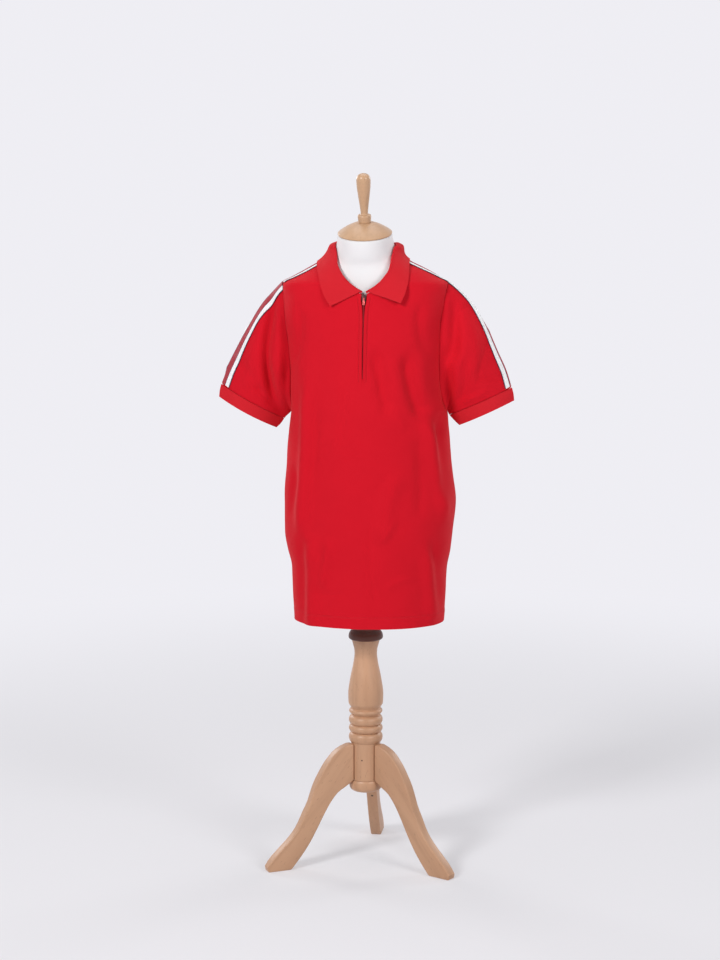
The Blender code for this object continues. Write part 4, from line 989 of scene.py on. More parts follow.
def panel_surface(u, v, front):
    """A panel's outer skin with the relief of its hem, seams and zip."""
    x, z = panel_place(u, v, front)
    relief = ripple(x, z, FRONT_RIPPLE if front else BACK_RIPPLE)
    at_seam = (z > VENT_TOP_Z) * (z < UNDERARM_Z)
    relief = relief + dip(EDGE_METRES * (1 - np.abs(u)), 0.0003, 0.0016) * at_seam
    over_hem = z - HEM_Z - HEM_DEPTH
    relief = relief + 0.00035 * ramp(over_hem, 0.001, -0.001)
    relief = relief + dip(over_hem, 0.00045, 0.0011) + dip(over_hem + HEM_ROW_GAP, 0.0003, 0.0009)
    puckers = np.sin(u * 61) * np.sin(u * 23 + 1) * np.exp(-(over_hem / 0.012) ** 2)
    relief = relief + 0.0003 * puckers
    if front:
        offset = np.abs(x - CENTRE_X) - slit_at(z).width / 2
        at_zip = ramp(z, ZIP_END_Z - 0.010, ZIP_END_Z + 0.002)
        placket = 0.0008 * ramp(offset, ZIP_STITCH + 0.001, ZIP_STITCH - 0.001)
        roll = 0.0007 * np.exp(-(((offset - 0.0012) / 0.0012) ** 2)) + dip(offset, 0.0009, 0.0006)
        relief = relief + at_zip * (placket + roll + dip(offset - ZIP_STITCH, 0.0010, 0.0011))
    return body_point(across_of(x, z), z, front, relief * ramp(v, 2.0, 1.93))


def part_from_seams(points, way):
    """Moves both side edges of a panel away from the other panel's."""
    points[:, (0, -1), 1] += way * SEAM_GAP / 2


HALF_WIDTH = 0.147        # of the front, where its columns are laid out
HALF_SLIT = 0.0008        # between the middle and the first column, below the zip


def front_columns():
    """Values of u, with real distances from the slit's edge beside it."""
    close = [2 / math.pi * math.asin((d + HALF_SLIT) / HALF_WIDTH) for d in ZIP_COLUMNS]
    side = np.array(close + edge_columns(close[-1], 40))
    return np.concatenate([-side[::-1], side])


def beside_slit(u, v):
    """The columns of one row, moved so that those at the zip keep their distance from its slit."""
    x, z = panel_place(u, np.full(u.shape, v), True)
    away = HALF_WIDTH * np.sin(np.abs(u) * math.pi / 2) - HALF_SLIT
    near = ramp(away, 0.075, 0.009) * ramp(z, 0.80, 0.92)
    wanted = mix(x, CENTRE_X + np.sign(u) * (slit_at(z).width / 2 + away), near)
    fine = np.linspace(-0.7, 0.7, 1401)
    moved = np.interp(wanted, panel_place(fine, np.full(fine.shape, v), True)[0], fine)
    return np.where(near > 0, moved, u)


def shirt_front():
    u = front_columns()
    v = panel_rows()
    uu = np.array([beside_slit(u, row) for row in v])
    points = panel_surface(uu, np.repeat(v[:, None], len(u), 1), True)
    part_from_seams(points, -1)
    middle = len(u) // 2 - 1
    heights = points[:, middle, 2]
    mesh = grid_mesh("shirt_front", points,
                     missing=lambda i, j: (j == middle) & (heights[i] > ZIP_END_Z - 0.001))
    cloth_piece("shirt_front", mesh, PIQUE)


def shirt_back():
    side = np.array(edge_columns(0, 50))
    u = np.concatenate([-side[::-1], [0], side])
    vv, uu = np.meshgrid(panel_rows(), u, indexing="ij")
    points = panel_surface(uu, vv, False)
    part_from_seams(points, 1)
    cloth_piece("shirt_back", grid_mesh("shirt_back", points, flip=True), PIQUE)


# ---------------------------------------------------------------- sleeves, cuffs, collar

def ring_turns(count):
    return np.array(spread(0, 2 * math.pi, count)[:-1])


def tube(node, side, points, cloth):
    cloth_piece(node, grid_mesh(node, points, wraps=True, flip=side == "right"), cloth)


def sleeve(side):
    s = np.array([0, 0.006, 0.014, *spread(0.026, 0.965, 56), 0.978, 0.988, 0.995, 1.0])
    ss, tt = np.meshgrid(s, ring_turns(132), indexing="ij")
    relief = dip((1 - ss) * EDGE_METRES, 0.0006, 0.0020)
    points = sleeve_point(side, ss, tt, relief * (ss > 0))
    points[0, :, 0] += SIGN[side] * SEAM_GAP
    tube("sleeve_" + side, side, points, PIQUE)


def cuff(side):
    ss, tt = np.meshgrid(np.array(spread(0, 1, 14)), ring_turns(160), indexing="ij")
    tube("cuff_" + side, side, cuff_point(side, ss, tt), RIB_KNIT)


def collar():
    reach = math.pi / 2 * 0.8
    ts = np.sin(np.array(spread(-1, 1, 110)) * reach) / math.sin(reach)
    profiles = np.array([collar_profile(t) for t in ts])
    mesh = grid_mesh("collar", np.transpose(profiles, (1, 0, 2)))
    cloth_piece("collar", mesh, RIB_KNIT, offset=0.0, smooth=2)


# ---------------------------------------------------------------- striped tapes

# How far before the shoulder's or sleeve's top line the tape's middle lies: place goes from 0 at the
# neck to 1 at the armhole and 2 at the cuff.
TapeLine = namedtuple("TapeLine", "place shift")
TAPE_LINES = {
    "right": smooth_table([
        TapeLine(0.0, 0.0070), TapeLine(0.8, 0.0088), TapeLine(1.0, 0.0088), TapeLine(1.3, 0.0090),
        TapeLine(1.5, 0.0108), TapeLine(1.8, 0.0085), TapeLine(2.0, 0.0042),
    ]),
    "left": smooth_table([
        TapeLine(0.0, 0.0040), TapeLine(0.5, 0.0010), TapeLine(0.9, -0.0100), TapeLine(1.0, -0.0115),
        TapeLine(1.2, -0.0105), TapeLine(1.4, -0.0060), TapeLine(1.6, -0.0032), TapeLine(2.0, -0.0025),
    ]),
}
TAPE_ACROSS = np.array([-1, -0.97, -0.92, -0.8, -0.6, -0.4, -0.2, -0.07, 0, 0.07, 0.2, 0.4, 0.6, 0.8,
                        0.92, 0.97, 1]) * TAPE_WIDTH / 2


# One length of tape: the node it stands for, its surface, the places along it, its shift across and
# its lift off the cloth there, and how much more it is lifted over the top line.
TapeRun = namedtuple("TapeRun", "node surface places shifts lift crest")


def shoulder_point(side, z, turn):
    return body_point(SIGN[side] * np.cos(turn), z, turn >= 0)


def tape_runs(side, on_shoulder, on_sleeve):
    """The two lengths of a side's tape, each at these shares of the shoulder or the sleeve."""
    line = TAPE_LINES[side]
    return (
        TapeRun("shoulder_tape_" + side, lambda z, turn: shoulder_point(side, z, turn),
                mix(NECK_SIDE_Z, SHOULDER_TIP_Z, on_shoulder), line(on_shoulder).shift,
                np.zeros(len(on_shoulder)), 0.0),
        TapeRun("sleeve_tape_" + side, lambda s, turn: sleeve_point(side, s, turn),
                on_sleeve, line(1 + on_sleeve).shift,
                0.0006 * ramp(on_sleeve, 0.18, 0), 0.0008),
    )


def lifted(surface, place, turn, height):
    """Points of a surface moved out along its normal, here always upwards."""
    step = 1e-3
    along = surface(place + step, turn) - surface(place - step, turn)
    across = surface(place, turn + step) - surface(place, turn - step)
    normal = unit(np.cross(along, across))
    normal = np.where(normal[..., 2:] < 0, -normal, normal)
    return surface(place, turn) + normal * height[..., None]


def turns_at(surface, place, offsets):
    """The turns at which the surface has run these distances across from turn 0."""
    turn = np.linspace(-1.6, 1.6, 801)
    reach = run_along(surface(np.full(turn.shape, place), turn))
    return np.interp(offsets + reach[len(turn) // 2], reach, turn)


def tape(run):
    turns = np.array([
        turns_at(run.surface, place, TAPE_ACROSS + shift)
        for place, shift in zip(run.places, run.shifts)
    ])
    place = np.repeat(run.places[:, None], len(TAPE_ACROSS), 1)
    height = TAPE_OUT + run.lift[:, None] + run.crest * np.exp(-((turns / 0.10) ** 2))
    points = lifted(run.surface, place, turns, height)
    middle = len(TAPE_ACROSS) // 2
    along = run_along(points[:, middle])
    uv = np.stack(np.broadcast_arrays(TAPE_ACROSS[None, :], along[:, None]), -1)
    here, ahead, beside = points[0, middle], points[1, middle], points[0, middle + 1]
    faces_down = np.cross(ahead - here, beside - here)[2] < 0
    cloth_piece(run.node, grid_mesh(run.node, points, flip=not faces_down, uv=uv), TAPE)


def tapes(side):
    for run in tape_runs(side, np.array(spread(0.14, 1.0, 42)), np.array(spread(0.0, 0.99, 90))):
        tape(run)


# ---------------------------------------------------------------- stitches

STITCH_LENGTH = 0.0026
STITCH_GAP = 0.0008
THREAD_RADIUS = 0.00022

# A stitch's rings: share of its length, of the thread's radius, and rise in radii out of the cloth.
Bend = namedtuple("Bend", "along swell rise")
STITCH_BENDS = [
    Bend(0, 0.35, -0.7), Bend(0.12, 0.85, 0.2), Bend(0.5, 1, 0.55), Bend(0.88, 0.85, 0.2),
    Bend(1, 0.35, -0.7),
]


def stitch_line(points, normals):
    """Verts and faces of short threads laid end to end along a line of points."""
    points, normals = np.asarray(points) + (0, AXIS_Y, 0), np.asarray(normals)
    reach = run_along(points)
    along, swell, rise = np.array(STITCH_BENDS).T
    angle = ring_turns(6)
    n = len(angle)
    verts, faces = [], []
    for start in np.arange(STITCH_GAP, reach[-1] - STITCH_LENGTH, STITCH_LENGTH + STITCH_GAP):
        here = start + along * STITCH_LENGTH
        line = at_reach(here, reach, points)
        up = unit(at_reach(here, reach, normals))
        side = unit(np.cross(unit(np.gradient(line, axis=0)), up))
        middles = line + up * (THREAD_RADIUS * rise)[:, None]
        round_it = side[:, None] * np.cos(angle)[:, None] + up[:, None] * np.sin(angle)[:, None]
        rings = middles[:, None] + round_it * (THREAD_RADIUS * swell)[:, None, None]
        base = len(verts)
        verts.extend(rings.reshape(-1, 3).tolist())
        last = base + (len(along) - 1) * n
        for low in range(base, last, n):
            for b in range(n):
                c = (b + 1) % n
                faces.append((low + b, low + c, low + n + c, low + n + b))
        faces.append(tuple(base + b for b in reversed(range(n))))
        faces.append(tuple(last + b for b in range(n)))
    return verts, faces


def stitches(name, lines, finish):
    """One piece of thread from several lines, each a pair of points and normals."""
    verts, faces = [], []
    for points, normals in lines:
        more, sides = stitch_line(points, normals)
        faces.extend(tuple(k + len(verts) for k in side) for side in sides)
        verts.extend(more)
    mesh = mesh_of(name, verts, faces, smooth=True)
    shape = bmesh.new()
    shape.from_mesh(mesh)
    bmesh.ops.recalc_face_normals(shape, faces=shape.faces)
    shape.to_mesh(mesh)
    shape.free()
    dress(add_object(name, mesh), finish)


def hem_lines(front):
    lines = []
    for height in (HEM_DEPTH, HEM_DEPTH - HEM_ROW_GAP):
        u = np.linspace(-0.985, 0.985, 400)
        v = np.full(u.shape, height / (UNDERARM_Z - HEM_Z))
        points = panel_surface(u, v, front)
        flat = points * (1, 1, 0)
        along = unit(np.gradient(flat, axis=0))
        normals = np.stack([along[:, 1], -along[:, 0], along[:, 2]], -1)
        outward = np.sign((normals * (flat - flat.mean(0))).sum(1, keepdims=True))
        lines.append((points, normals * np.where(outward == 0, 1, outward)))
    return lines


def zip_line(x, z):
    points = on_front(x, z, ripple(x, z, FRONT_RIPPLE) + 0.00005)
    return points, unit(on_front(x, z, 0.001) - on_front(x, z, 0))


def zip_lines():
    """Down both sides of the slit and across below it."""
    z = np.linspace(ZIP_STITCH_LOW_Z, NECK_FRONT_Z - 0.006, 120)
    lines = [
        zip_line(CENTRE_X + sign * (slit_at(z).width / 2 + ZIP_STITCH), z) for sign in (-1, 1)
    ]
    reach = ZIP_STITCH + 0.0006
    x = np.linspace(CENTRE_X - reach, CENTRE_X + reach, 20)
    return lines + [zip_line(x, np.full(x.shape, ZIP_STITCH_LOW_Z))]


def tape_edge_lines(side):
    """Stitches just inside both edges of a side's two lengths of tape."""
    lines = []
    for run in tape_runs(side, np.linspace(0.15, 0.96, 50), np.linspace(0.02, 0.98, 120)):
        for edge in (-1, 1):
            inset = edge * (TAPE_WIDTH / 2 - 0.0016)
            turn = np.array([
                turns_at(run.surface, place, inset + shift)
                for place, shift in zip(run.places, run.shifts)
            ])
            rise = TAPE_OUT + run.lift
            points = lifted(run.surface, run.places, turn, rise)
            higher = lifted(run.surface, run.places, turn, rise + 0.001)
            lines.append((points, unit(higher - points)))
    return lines


# ---------------------------------------------------------------- zip

HINGE = Vector((0.006075, -0.138029, 1.102))
ZIP_PLACE = Matrix.Translation(HINGE) @ Matrix.Rotation(math.radians(-15.44), 4, "X")
LYING = (0, math.pi / 2, 0)   # turns a cylinder's axis from Z to X

ZIP_TAPE_HALF = 0.014     # half its width
ZIP_TAPE_LOW_Z = 0.944
ZIP_TAPE_DEEP = PIQUE_THICKNESS + 0.0011
TOOTH_SIZE = (0.0017, 0.0011, 0.00066)
TOOTH_PITCH = 0.00068
TOOTH_ASIDE = 0.00055     # from the middle to the middle of a tooth
TOOTH_DEEP = 0.00135      # behind the front's outer skin
TEETH_TOP_Z = 1.0955

SLIDER_SIZE = (0.0082, 0.0030, 0.0115)
EAR_X = 0.0022
EAR_RADIUS = 0.0017
EAR_THICKNESS = 0.0010
PIN_RADIUS = 0.00075
PIN_LENGTH = 0.0060
PULL_NECK_SIZE = (0.0026, 0.0009, 0.0045)
# From the neck down: how far the plate is drawn on, and how much wider it is there than before.
PULL_STEPS = [(0.0006, 1.55), (0.0014, 1.14), (0.0058, 1.0), (0.0012, 0.94), (0.0006, 0.76)]


def edit(piece):
    select_only(piece)
    bpy.ops.object.mode_set(mode="EDIT")


def leave_edit():
    bpy.ops.object.mode_set(mode="OBJECT")


def pick(test, kind="FACE"):
    """Selects the faces, edges or vertices of the piece in edit mode that pass a test.

    The test is given the item's middle and the item.
    """
    obj = bpy.context.edit_object
    shape = bmesh.from_edit_mesh(obj.data)
    bpy.context.tool_settings.mesh_select_mode = (kind == "VERT", kind == "EDGE", kind == "FACE")
    for item in (*shape.faces, *shape.edges, *shape.verts):
        item.select = False
    for item in {"FACE": shape.faces, "EDGE": shape.edges, "VERT": shape.verts}[kind]:
        corners = [item] if kind == "VERT" else item.verts
        middle = sum((vert.co for vert in corners), Vector()) / len(corners)
        if test(middle, item):
            item.select = True
    shape.select_flush_mode()
    bmesh.update_edit_mesh(obj.data)


def finish_piece(piece, finish, body=BODY, matrix=None, bevel=0.0, segments=2, angle=50):
    """Bevels a modelled piece, moves its mesh to its place and lets it ride on its body."""
    select_only(piece)
    if bevel:
        round_off = piece.modifiers.new("round_off", "BEVEL")
        round_off.width = bevel
        round_off.segments = segments
        round_off.limit_method = "ANGLE"
        round_off.angle_limit = math.radians(angle)
        bpy.ops.object.modifier_apply(modifier="round_off")
    if matrix is not None:
        piece.data.transform(matrix)
    bpy.ops.object.shade_smooth_by_angle(angle=math.radians(35))
    dress(piece, finish, body)


def zip_tape():
    x = CENTRE_X + np.linspace(-ZIP_TAPE_HALF, ZIP_TAPE_HALF, 15)
    z = np.linspace(ZIP_TAPE_LOW_Z, NECK_FRONT_Z - 0.003, 90)
    zz, xx = np.meshgrid(z, x, indexing="ij")
    points = on_front(xx, zz, -ZIP_TAPE_DEEP)
    cloth_piece("zip_tape", grid_mesh("zip_tape", points), ZIP_TAPE)


def tooth_shape():
    """Corners and faces of one tooth, whose head points along X."""
    tooth = start_piece("tooth", bpy.ops.mesh.primitive_cube_add, TOOTH_SIZE, size=1,
                        location=(0, 0, 0))
    edit(tooth)
    pick(lambda middle, face: middle.x > 0.0008)
    bpy.ops.mesh.extrude_region_move(TRANSFORM_OT_translate={"value": (0.0005, 0, 0)})
    bpy.ops.transform.resize(value=(1, 0.75, 1.25))
    leave_edit()
    soft = tooth.modifiers.new("soft", "BEVEL")
    soft.width = 0.00012
    soft.segments = 1
    bpy.ops.object.modifier_apply(modifier="soft")
    verts = np.array([v.co for v in tooth.data.vertices])
    sides = [tuple(p.vertices) for p in tooth.data.polygons]
    bpy.data.objects.remove(tooth)
    return verts, sides


def zip_teeth():
    """The closed row of teeth below the slider, left and right in turn."""
    verts, sides = tooth_shape()
    all_verts, all_faces = [], []
    for n, z in enumerate(np.arange(ZIP_END_Z + 0.001, TEETH_TOP_Z, TOOTH_PITCH)):
        hand = -1 if n % 2 else 1
        middle = on_front(np.asarray(CENTRE_X), z, -TOOTH_DEEP)
        middle[0] = CENTRE_X - hand * TOOTH_ASIDE
        base = len(all_verts)
        all_verts.extend((verts * (hand, 1, 1) + middle + (0, AXIS_Y, 0)).tolist())
        all_faces.extend(tuple(base + k for k in side[::hand]) for side in sides)
    dress(add_object("zip_teeth", mesh_of("zip_teeth", all_verts, all_faces)), ZIP_COIL)


def zip_slider():
    """Slider body with a waist and flanges, and the two ears that hold the pin."""
    body = start_piece("zip_slider_body", bpy.ops.mesh.primitive_cube_add, SLIDER_SIZE, size=1,
                       location=(0, 0.0030, 0.00025))
    edit(body)
    bpy.ops.mesh.select_all(action="SELECT")
    bpy.ops.mesh.subdivide(number_cuts=3)
    pick(lambda middle, vert: abs(middle.x) > 0.004 and middle.z < 0.0, "VERT")
    bpy.ops.transform.resize(value=(0.80, 1, 1), center_override=(0, 0, 0))
    pick(lambda middle, vert: abs(middle.x) > 0.0025 and abs(middle.z - 0.006) < 0.0002, "VERT")
    bpy.ops.transform.resize(value=(0.90, 1, 1), center_override=(0, 0, 0))
    pick(lambda middle, face: face.normal.y < -0.9 and abs(middle.x) < 0.0022)
    bpy.ops.mesh.inset(thickness=0.0004, depth=0.00025)
    leave_edit()
    finish_piece(body, ZIP_METAL, matrix=ZIP_PLACE, bevel=0.00045)
    for side, sign in SIGN.items():
        ear = start_piece("zip_ear_" + side, bpy.ops.mesh.primitive_cylinder_add, vertices=28,
                          radius=EAR_RADIUS, depth=EAR_THICKNESS, location=(sign * EAR_X, 0, 0),
                          rotation=LYING)
        edit(ear)
        pick(lambda middle, face: abs(face.normal.x) > 0.9)
        bpy.ops.mesh.inset(thickness=0.00062)
        pick(lambda middle, vert: middle.y > 0.0008, "VERT")
        bpy.ops.transform.translate(value=(0, 0.0007, 0))
        leave_edit()
        finish_piece(ear, ZIP_METAL, matrix=ZIP_PLACE, bevel=0.00015)
    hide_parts("zip_slider")


def zip_pull():
    """Pull tab: pin, neck, and a plate with a raised rim and a slot."""
    pin = start_piece("pull_pin", bpy.ops.mesh.primitive_cylinder_add, vertices=20,
                      radius=PIN_RADIUS, depth=PIN_LENGTH, location=(0, 0, 0), rotation=LYING)
    finish_piece(pin, PULL_METAL, PULL, ZIP_PLACE, 0.0001)
    plate = start_piece("pull_plate", bpy.ops.mesh.primitive_cube_add, PULL_NECK_SIZE, size=1,
                        location=(0, 0, -0.0016))
    edit(plate)
    pick(lambda middle, face: face.normal.z < -0.9)
    for drop, widen in PULL_STEPS:
        bpy.ops.mesh.extrude_region_move(TRANSFORM_OT_translate={"value": (0, 0, -drop)})
        bpy.ops.transform.resize(value=(widen, 1, 1))
    pick(lambda middle, face: abs(face.normal.y) > 0.9 and -0.0121 < middle.z < -0.0052)
    bpy.ops.mesh.inset(thickness=0.00055, depth=-0.00022)
    leave_edit()
    finish_piece(plate, PULL_METAL, PULL, ZIP_PLACE, 0.00018, angle=40)
    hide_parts("zip_pull")


# ---------------------------------------------------------------- dress form

# Level sections of the torso and neck: lean is the rise per metre towards the back.
Ring = namedtuple("Ring", "z half front back centre_y lean power")
form_ring = smooth_table([
    Ring(0.4900, 0.1050, 0.0760, 0.0800, 0.000, 0.0, 2.3),
    Ring(0.4960, 0.1150, 0.0840, 0.0860, 0.000, 0.0, 2.3),
    Ring(0.5150, 0.1200, 0.0880, 0.0890, 0.000, 0.0, 2.3),
    Ring(0.5800, 0.1230, 0.0920, 0.0900, 0.000, 0.0, 2.3),
    Ring(0.6800, 0.1200, 0.0930, 0.0860, 0.000, 0.0, 2.3),
    Ring(0.7700, 0.1140, 0.0930, 0.0800, 0.000, 0.0, 2.3),
    Ring(0.8600, 0.1220, 0.1030, 0.0870, 0.000, 0.0, 2.3),
    Ring(0.9300, 0.1290, 0.1050, 0.0930, 0.000, 0.0, 2.2),
    Ring(1.0000, 0.1310, 0.0980, 0.0930, 0.000, 0.0, 2.1),
    Ring(1.0500, 0.1350, 0.0870, 0.0870, 0.000, 0.0, 2.0),
    Ring(1.0850, 0.1400, 0.0770, 0.0780, 0.000, 0.0, 2.0),
    Ring(1.1050, 0.1430, 0.0720, 0.0730, 0.000, 0.0, 2.0),
    Ring(1.1180, 0.1435, 0.0690, 0.0710, 0.000, 0.0, 2.0),
    Ring(1.1280, 0.1400, 0.0670, 0.0690, 0.000, 0.0, 2.0),
    Ring(1.1400, 0.1270, 0.0630, 0.0650, 0.000, 0.0, 2.0),
    Ring(1.1500, 0.1099, 0.0590, 0.0610, 0.000, 0.0, 2.0),
    Ring(1.1600, 0.0908, 0.0550, 0.0560, -0.001, 0.04, 2.0),
    Ring(1.1690, 0.0738, 0.0535, 0.0525, -0.003, 0.09, 2.0),
    Ring(1.1790, 0.0610, 0.0535, 0.0510, -0.006, 0.15, 2.0),
    Ring(1.1920, 0.0555, 0.0530, 0.0510, -0.010, 0.21, 2.0),
    Ring(1.2060, 0.0528, 0.0520, 0.0510, -0.014, 0.25, 2.0),
    Ring(1.2185, 0.0508, 0.0508, 0.0508, -0.018, 0.268, 2.0),
])
FORM_LOW_Z, FORM_TOP_Z = 0.4900, 1.2185


def rounded(cosine, power):
    """A cosine or sine drawn out to the superellipse of this power."""
    return np.sign(cosine) * np.abs(cosine) ** (2 / power)


def form_torso():
    """A cylinder cut into many rings, each drawn to the torso's section at its height."""
    piece = start_piece(
        "form_torso_jersey", bpy.ops.mesh.primitive_cylinder_add, vertices=112, radius=0.1,
        depth=FORM_TOP_Z - FORM_LOW_Z, end_fill_type="NGON",
        location=(0, 0, (FORM_TOP_Z + FORM_LOW_Z) / 2),
    )
    edit(piece)
    pick(lambda middle, side: abs(side.verts[0].co.z - side.verts[1].co.z) > 0.1, "EDGE")
    bpy.ops.mesh.subdivide(number_cuts=180)
    leave_edit()
    places = np.empty(len(piece.data.vertices) * 3)
    piece.data.vertices.foreach_get("co", places)
    x, y, z = places.reshape(-1, 3).T
    turn = np.arctan2(y, x)
    row = form_ring(z)
    away = np.where(np.sin(turn) > 0, row.back, row.front) * rounded(np.sin(turn), row.power)
    drawn = stack(
        row.half * rounded(np.cos(turn), row.power), row.centre_y + away + AXIS_Y,
        z + row.lean * away,
    )
    piece.data.vertices.foreach_set("co", drawn.ravel())
    finish_piece(piece, JERSEY, bevel=0.0008, angle=60)
    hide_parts("form_torso")


# ---------------------------------------------------------------- turned wood

def turned(node, profile, finish, sides=96, matrix=Matrix.Translation((0, AXIS_Y, 0))):
    """Turned wood from a ring that is drawn down its profile, from the top."""
    radius, z = profile[0]
    piece = start_piece(node + "_wood", bpy.ops.mesh.primitive_circle_add, vertices=sides,
                        radius=radius, fill_type="NGON", location=(0, 0, z))
    edit(piece)
    bpy.ops.mesh.select_all(action="SELECT")
    for (before, high), (radius, low) in zip(profile, profile[1:]):
        wider = radius / before
        bpy.ops.mesh.extrude_region_move(TRANSFORM_OT_translate={"value": (0, 0, low - high)})
        bpy.ops.transform.resize(value=(wider, wider, 1), center_override=(0, 0, low))
    bpy.ops.mesh.select_all(action="SELECT")
    bpy.ops.mesh.normals_make_consistent(inside=False)
    leave_edit()
    finish_piece(piece, finish, matrix=matrix)
    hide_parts(node)


Station = namedtuple("Station", "reach radius z")


def through(points, count):
    """A smooth curve through profile points, count steps between each two."""
    reach = run_along(np.array(points)).tolist()
    curve = smooth_table([Station(r, *p) for r, p in zip(reach, points)])
    steps = [mix(a, b, i / count) for a, b in zip(reach, reach[1:]) for i in range(count)]
    rows = curve(np.array(steps + reach[-1:]))
    return list(zip(rows.radius.tolist(), rows.z.tolist()))


def bead(radius_top, z_top, radius_peak, radius_low, z_low):
    """Profile points of a rounded ring, down to just above its lower groove."""
    points = []
    for t in spread(0, 1, BEAD_STEPS)[:-1]:
        base = mix(radius_top, radius_low, t)
        swell = math.sin(math.pi * t) ** 0.6
        points.append((mix(base, radius_peak, swell), mix(z_top, z_low, t)))
    return points


BEAD_STEPS = 10
HUB_RADIUS = 0.0285
HUB_LOW_Z = 0.1634
NECK_TOP = (0, AXIS_Y - 0.018, 1.2188)


def column():
    dark_bead = through([
        (0.0300, 0.4740), (0.0265, 0.4700), (0.0262, 0.4610), (0.0300, 0.4560), (0.0326, 0.4510),
        (0.0334, 0.4462), (0.0328, 0.4430), (0.0306, 0.4408),
    ], 4)
    bulb = through([
        (0.0274, 0.4398), (0.0244, 0.4290), (0.0223, 0.4200), (0.0218, 0.4120), (0.0236, 0.3960),
        (0.0300, 0.3640), (0.0341, 0.3320), (0.0334, 0.3150), (0.0286, 0.3062),
    ], 6)
    profile = [
        (0.0296, 0.4897), (0.0300, 0.4893), (0.0300, 0.4740),
        *dark_bead[1:],
        (0.0282, 0.4402),
        *bulb,
        *bead(0.0284, 0.3040, 0.0324, 0.0272, 0.2938),
        *bead(0.0270, 0.2908, 0.0329, 0.0278, 0.2725),
        *bead(0.0278, 0.2725, 0.0329, 0.0272, 0.2572),
        *bead(0.0272, 0.2572, 0.0329, 0.0286, 0.2374),
        (HUB_RADIUS, 0.2366), (HUB_RADIUS, HUB_LOW_Z),
    ]
    turned("column", profile, BEECH)
    top = HUB_LOW_Z - 0.0003
    profile = through([
        (0.0296, top), (0.0314, top - 0.0040), (0.0321, top - 0.0100), (0.0312, top - 0.0160),
        (0.0280, top - 0.0205), (0.0225, top - 0.0230), (0.0120, top - 0.0236),
    ], 5)
    turned("foot_collar", profile, BEECH)


def neck_cap_and_finial():
    """Both stand on the neck's top, which leans forwards."""
    tilt = Matrix.Translation(NECK_TOP) @ Matrix.Rotation(math.radians(15), 4, "X")
    cap = through([
        (0.0110, 0.0226), (0.0170, 0.0212), (0.0260, 0.0178), (0.0360, 0.0128), (0.0440, 0.0078),
        (0.0490, 0.0042), (0.0512, 0.0024),
    ], 5) + [(0.0513, 0.0018), (0.0512, 0.0010), (0.0508, 0.0004)]
    turned("neck_cap", cap, CAP_WOOD, matrix=tilt)
    finial = [(0.0010, 0.1158)] + through([
        (0.0026, 0.1157), (0.0060, 0.1147), (0.0096, 0.1126), (0.0124, 0.1085), (0.0134, 0.1025),
        (0.0130, 0.0920), (0.0112, 0.0760), (0.0091, 0.0600), (0.0075, 0.0470), (0.0069, 0.0400),
        (0.0076, 0.0378), (0.0116, 0.0366), (0.0128, 0.0345), (0.0124, 0.0290), (0.0119, 0.0240),
        (0.0117, 0.0229),
    ], 4)
    turned("finial", finial, CAP_WOOD, 64, tilt)


# ---------------------------------------------------------------- legs

LEG_THICKNESS = 0.021
LEG_TURNS = {"leg_right": -61.5, "leg_left": 58.5, "leg_rear": 178.5}
LEG_OUTER = [
    (0.0380, 0.2356), (0.0520, 0.2305), (0.0640, 0.2235), (0.0745, 0.2130), (0.0845, 0.2010),
    (0.0957, 0.1830), (0.1047, 0.1670), (0.1123, 0.1480), (0.1203, 0.1250), (0.1288, 0.1090),
    (0.1425, 0.0810), (0.1590, 0.0600), (0.1820, 0.0380), (0.1980, 0.0220), (0.2070, 0.0090),
]
LEG_INNER = [
    (0.0350, 0.1604), (0.0430, 0.1545), (0.0605, 0.1440), (0.0768, 0.1250), (0.0930, 0.0980),
    (0.1080, 0.0700), (0.1230, 0.0450), (0.1400, 0.0220), (0.1570, 0.0020),
]
LEG_TOP = ((0.0287, 0.2356), (0.0287, 0.1640))   # at the hub, the outer and the inner edge
LEG_FOOT = ((0.2055, 0.0), (0.1605, 0.0))


def even(points, count):
    """Points evenly spread along a smooth curve."""
    fine = np.array(through(points, 12))
    reach = run_along(fine)
    return at_reach(np.linspace(0, reach[-1], count), reach, fine)


def leg(name, turn):
    """A sawn board drawn out from the hub: its end face is pulled from station to station."""
    stations = [LEG_TOP, *zip(even(LEG_OUTER, 26), even(LEG_INNER, 26)), LEG_FOOT]
    (start_x, high), (_, low) = LEG_TOP
    piece = start_piece(name + "_wood", bpy.ops.mesh.primitive_plane_add,
                        (high - low, LEG_THICKNESS, 1), size=1,
                        location=(start_x, 0, (high + low) / 2), rotation=LYING)
    edit(piece)
    bpy.ops.mesh.select_all(action="SELECT")
    for (_, inner), (next_outer, next_inner) in zip(stations, stations[1:]):
        step = (next_inner[0] - inner[0], 0, next_inner[1] - inner[1])
        bpy.ops.mesh.extrude_region_move(TRANSFORM_OT_translate={"value": step})
        shape = bmesh.from_edit_mesh(piece.data)
        end_face = [vert for vert in shape.verts if vert.select]
        rises = next_outer[1] > next_inner[1] + 1e-4
        end_face.sort(key=lambda vert: -vert.co.z if rises else -vert.co.x)
        for vert in end_face[:2]:
            vert.co.x, vert.co.z = next_outer
        bmesh.update_edit_mesh(piece.data)
    bpy.ops.mesh.select_all(action="SELECT")
    bpy.ops.mesh.normals_make_consistent(inside=False)
    leave_edit()
    place = Matrix.Translation((0, AXIS_Y, 0)) @ Matrix.Rotation(math.radians(turn - 90), 4, "Z")
    finish_piece(piece, LEG_WOODS[name], matrix=place, bevel=0.0024, segments=4)
    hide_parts(name)


# ---------------------------------------------------------------- the whole

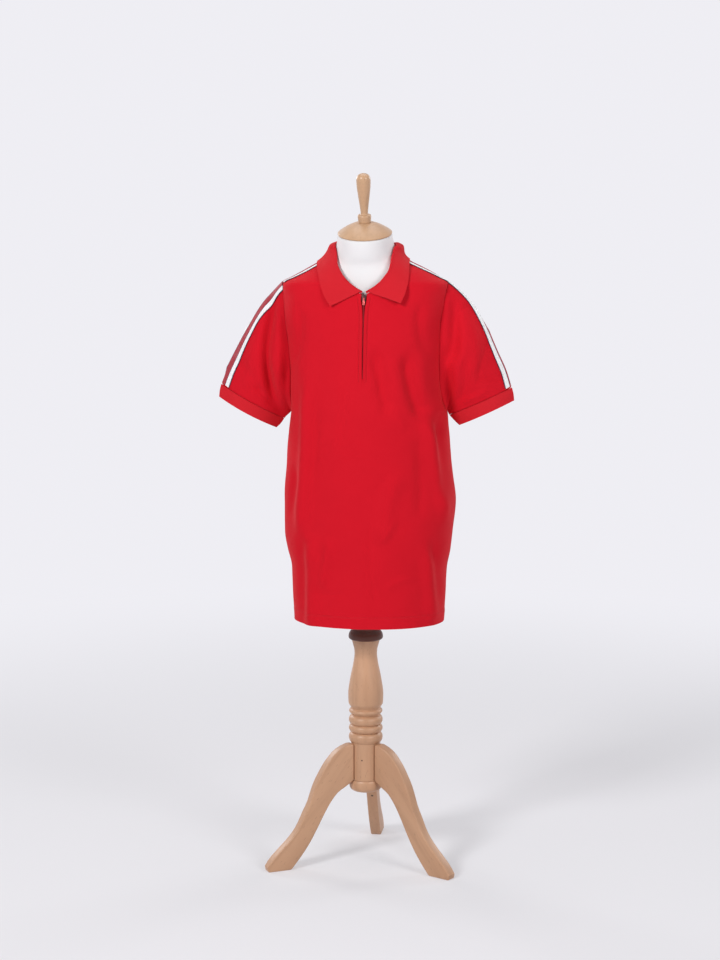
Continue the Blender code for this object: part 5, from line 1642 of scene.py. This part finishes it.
PIQUE = Cloth("_cloth", pique_finish(), PIQUE_THICKNESS, "pique")
RIB_KNIT = Cloth("_knit", rib_finish(), RIB_THICKNESS, "rib")
TAPE = Cloth("_woven", tape_finish(), TAPE_THICKNESS, "tape")
ZIP_TAPE = Cloth("_woven", zip_tape_finish(), ZIP_TAPE_THICKNESS, "zip_tape")
RED_THREAD = thread_finish("red_thread", (0.50, 0.010, 0.020))
PALE_THREAD = thread_finish("pale_thread", (0.72, 0.70, 0.72))
ZIP_COIL = thread_finish("zip_coil", (0.30, 0.005, 0.010))
ZIP_METAL = metal_finish("zip_metal", (0.060, 0.032, 0.030), 0.46)
PULL_METAL = metal_finish("pull_metal", (0.36, 0.075, 0.070), 0.52)
JERSEY = jersey_finish()
BEECH_LIGHT, BEECH_DARK = (0.565, 0.325, 0.195), (0.48, 0.258, 0.147)
COLUMN_KNOTS = [((-0.0045, AXIS_Y - 0.0281, 0.2055), 0.0019)]
# The column's top bead, above 0.44 m, gets a painted shadow for the shade under the shirt's hem.
BEECH = wood_finish("beech_column", BEECH_LIGHT, BEECH_DARK, knots=COLUMN_KNOTS,
                    shadow_band=(0.4395, 0.4415))
CAP_WOOD = wood_finish("lacquered_cap", (0.575, 0.365, 0.220), (0.505, 0.295, 0.165), gloss=0.28)
LEG_KNOTS = {"leg_rear": [((0.003, 0.0472, 0.1010), 0.0030), ((0.002, 0.0375, 0.1180), 0.0018)]}
LEG_WOODS = {
    name: wood_finish("beech_" + name, BEECH_LIGHT, BEECH_DARK,
                      turn=(0, math.radians(-40), math.radians(turn - 90)),
                      knots=LEG_KNOTS.get(name, ()))
    for name, turn in LEG_TURNS.items()
}

studio()
shirt_front()
shirt_back()
for side in SIGN:
    sleeve(side)
    cuff(side)
    tapes(side)
collar()
zip_tape()
zip_teeth()
zip_slider()
zip_pull()
form_torso()
column()
neck_cap_and_finial()
for leg_name, leg_turn in LEG_TURNS.items():
    leg(leg_name, leg_turn)
stitches("hem_stitches", hem_lines(front=True) + hem_lines(front=False), RED_THREAD)
stitches("zip_stitches", zip_lines(), RED_THREAD)
for side in SIGN:
    stitches("tape_stitches_" + side, tape_edge_lines(side), PALE_THREAD)

# Each cloth piece as it was cut, all round where it is a tube: width, length and the share of that
# rectangle that the cut fills.
Cut = namedtuple("Cut", "piece width length share held on")
CUTS = [
    Cut("shirt_front_cloth", 0.430, 0.690, 0.88, "hung", "form_torso"),
    Cut("shirt_back_cloth", 0.430, 0.700, 0.90, "hung", "form_torso"),
    Cut("zip_tape_woven", 0.028, 0.162, 1.0, "stretched", "shirt_front"),
    Cut("collar_knit", 0.420, 0.078, 0.95, "hung", "shirt_front"),
]
for side in SIGN:
    CUTS += [
        Cut("sleeve_" + side + "_cloth", 0.360, 0.188, 0.80, "hung", "form_torso"),
        Cut("cuff_" + side + "_knit", 0.270, 0.027, 1.0, "hung", "sleeve_" + side),
        Cut("shoulder_tape_" + side + "_woven", 0.036, 0.088, 1.0, "stretched", "shirt_front"),
        Cut("sleeve_tape_" + side + "_woven", 0.036, 0.235, 1.0, "stretched", "sleeve_" + side),
    ]
for cut in CUTS:
    cut.width * cut.length * cut.share
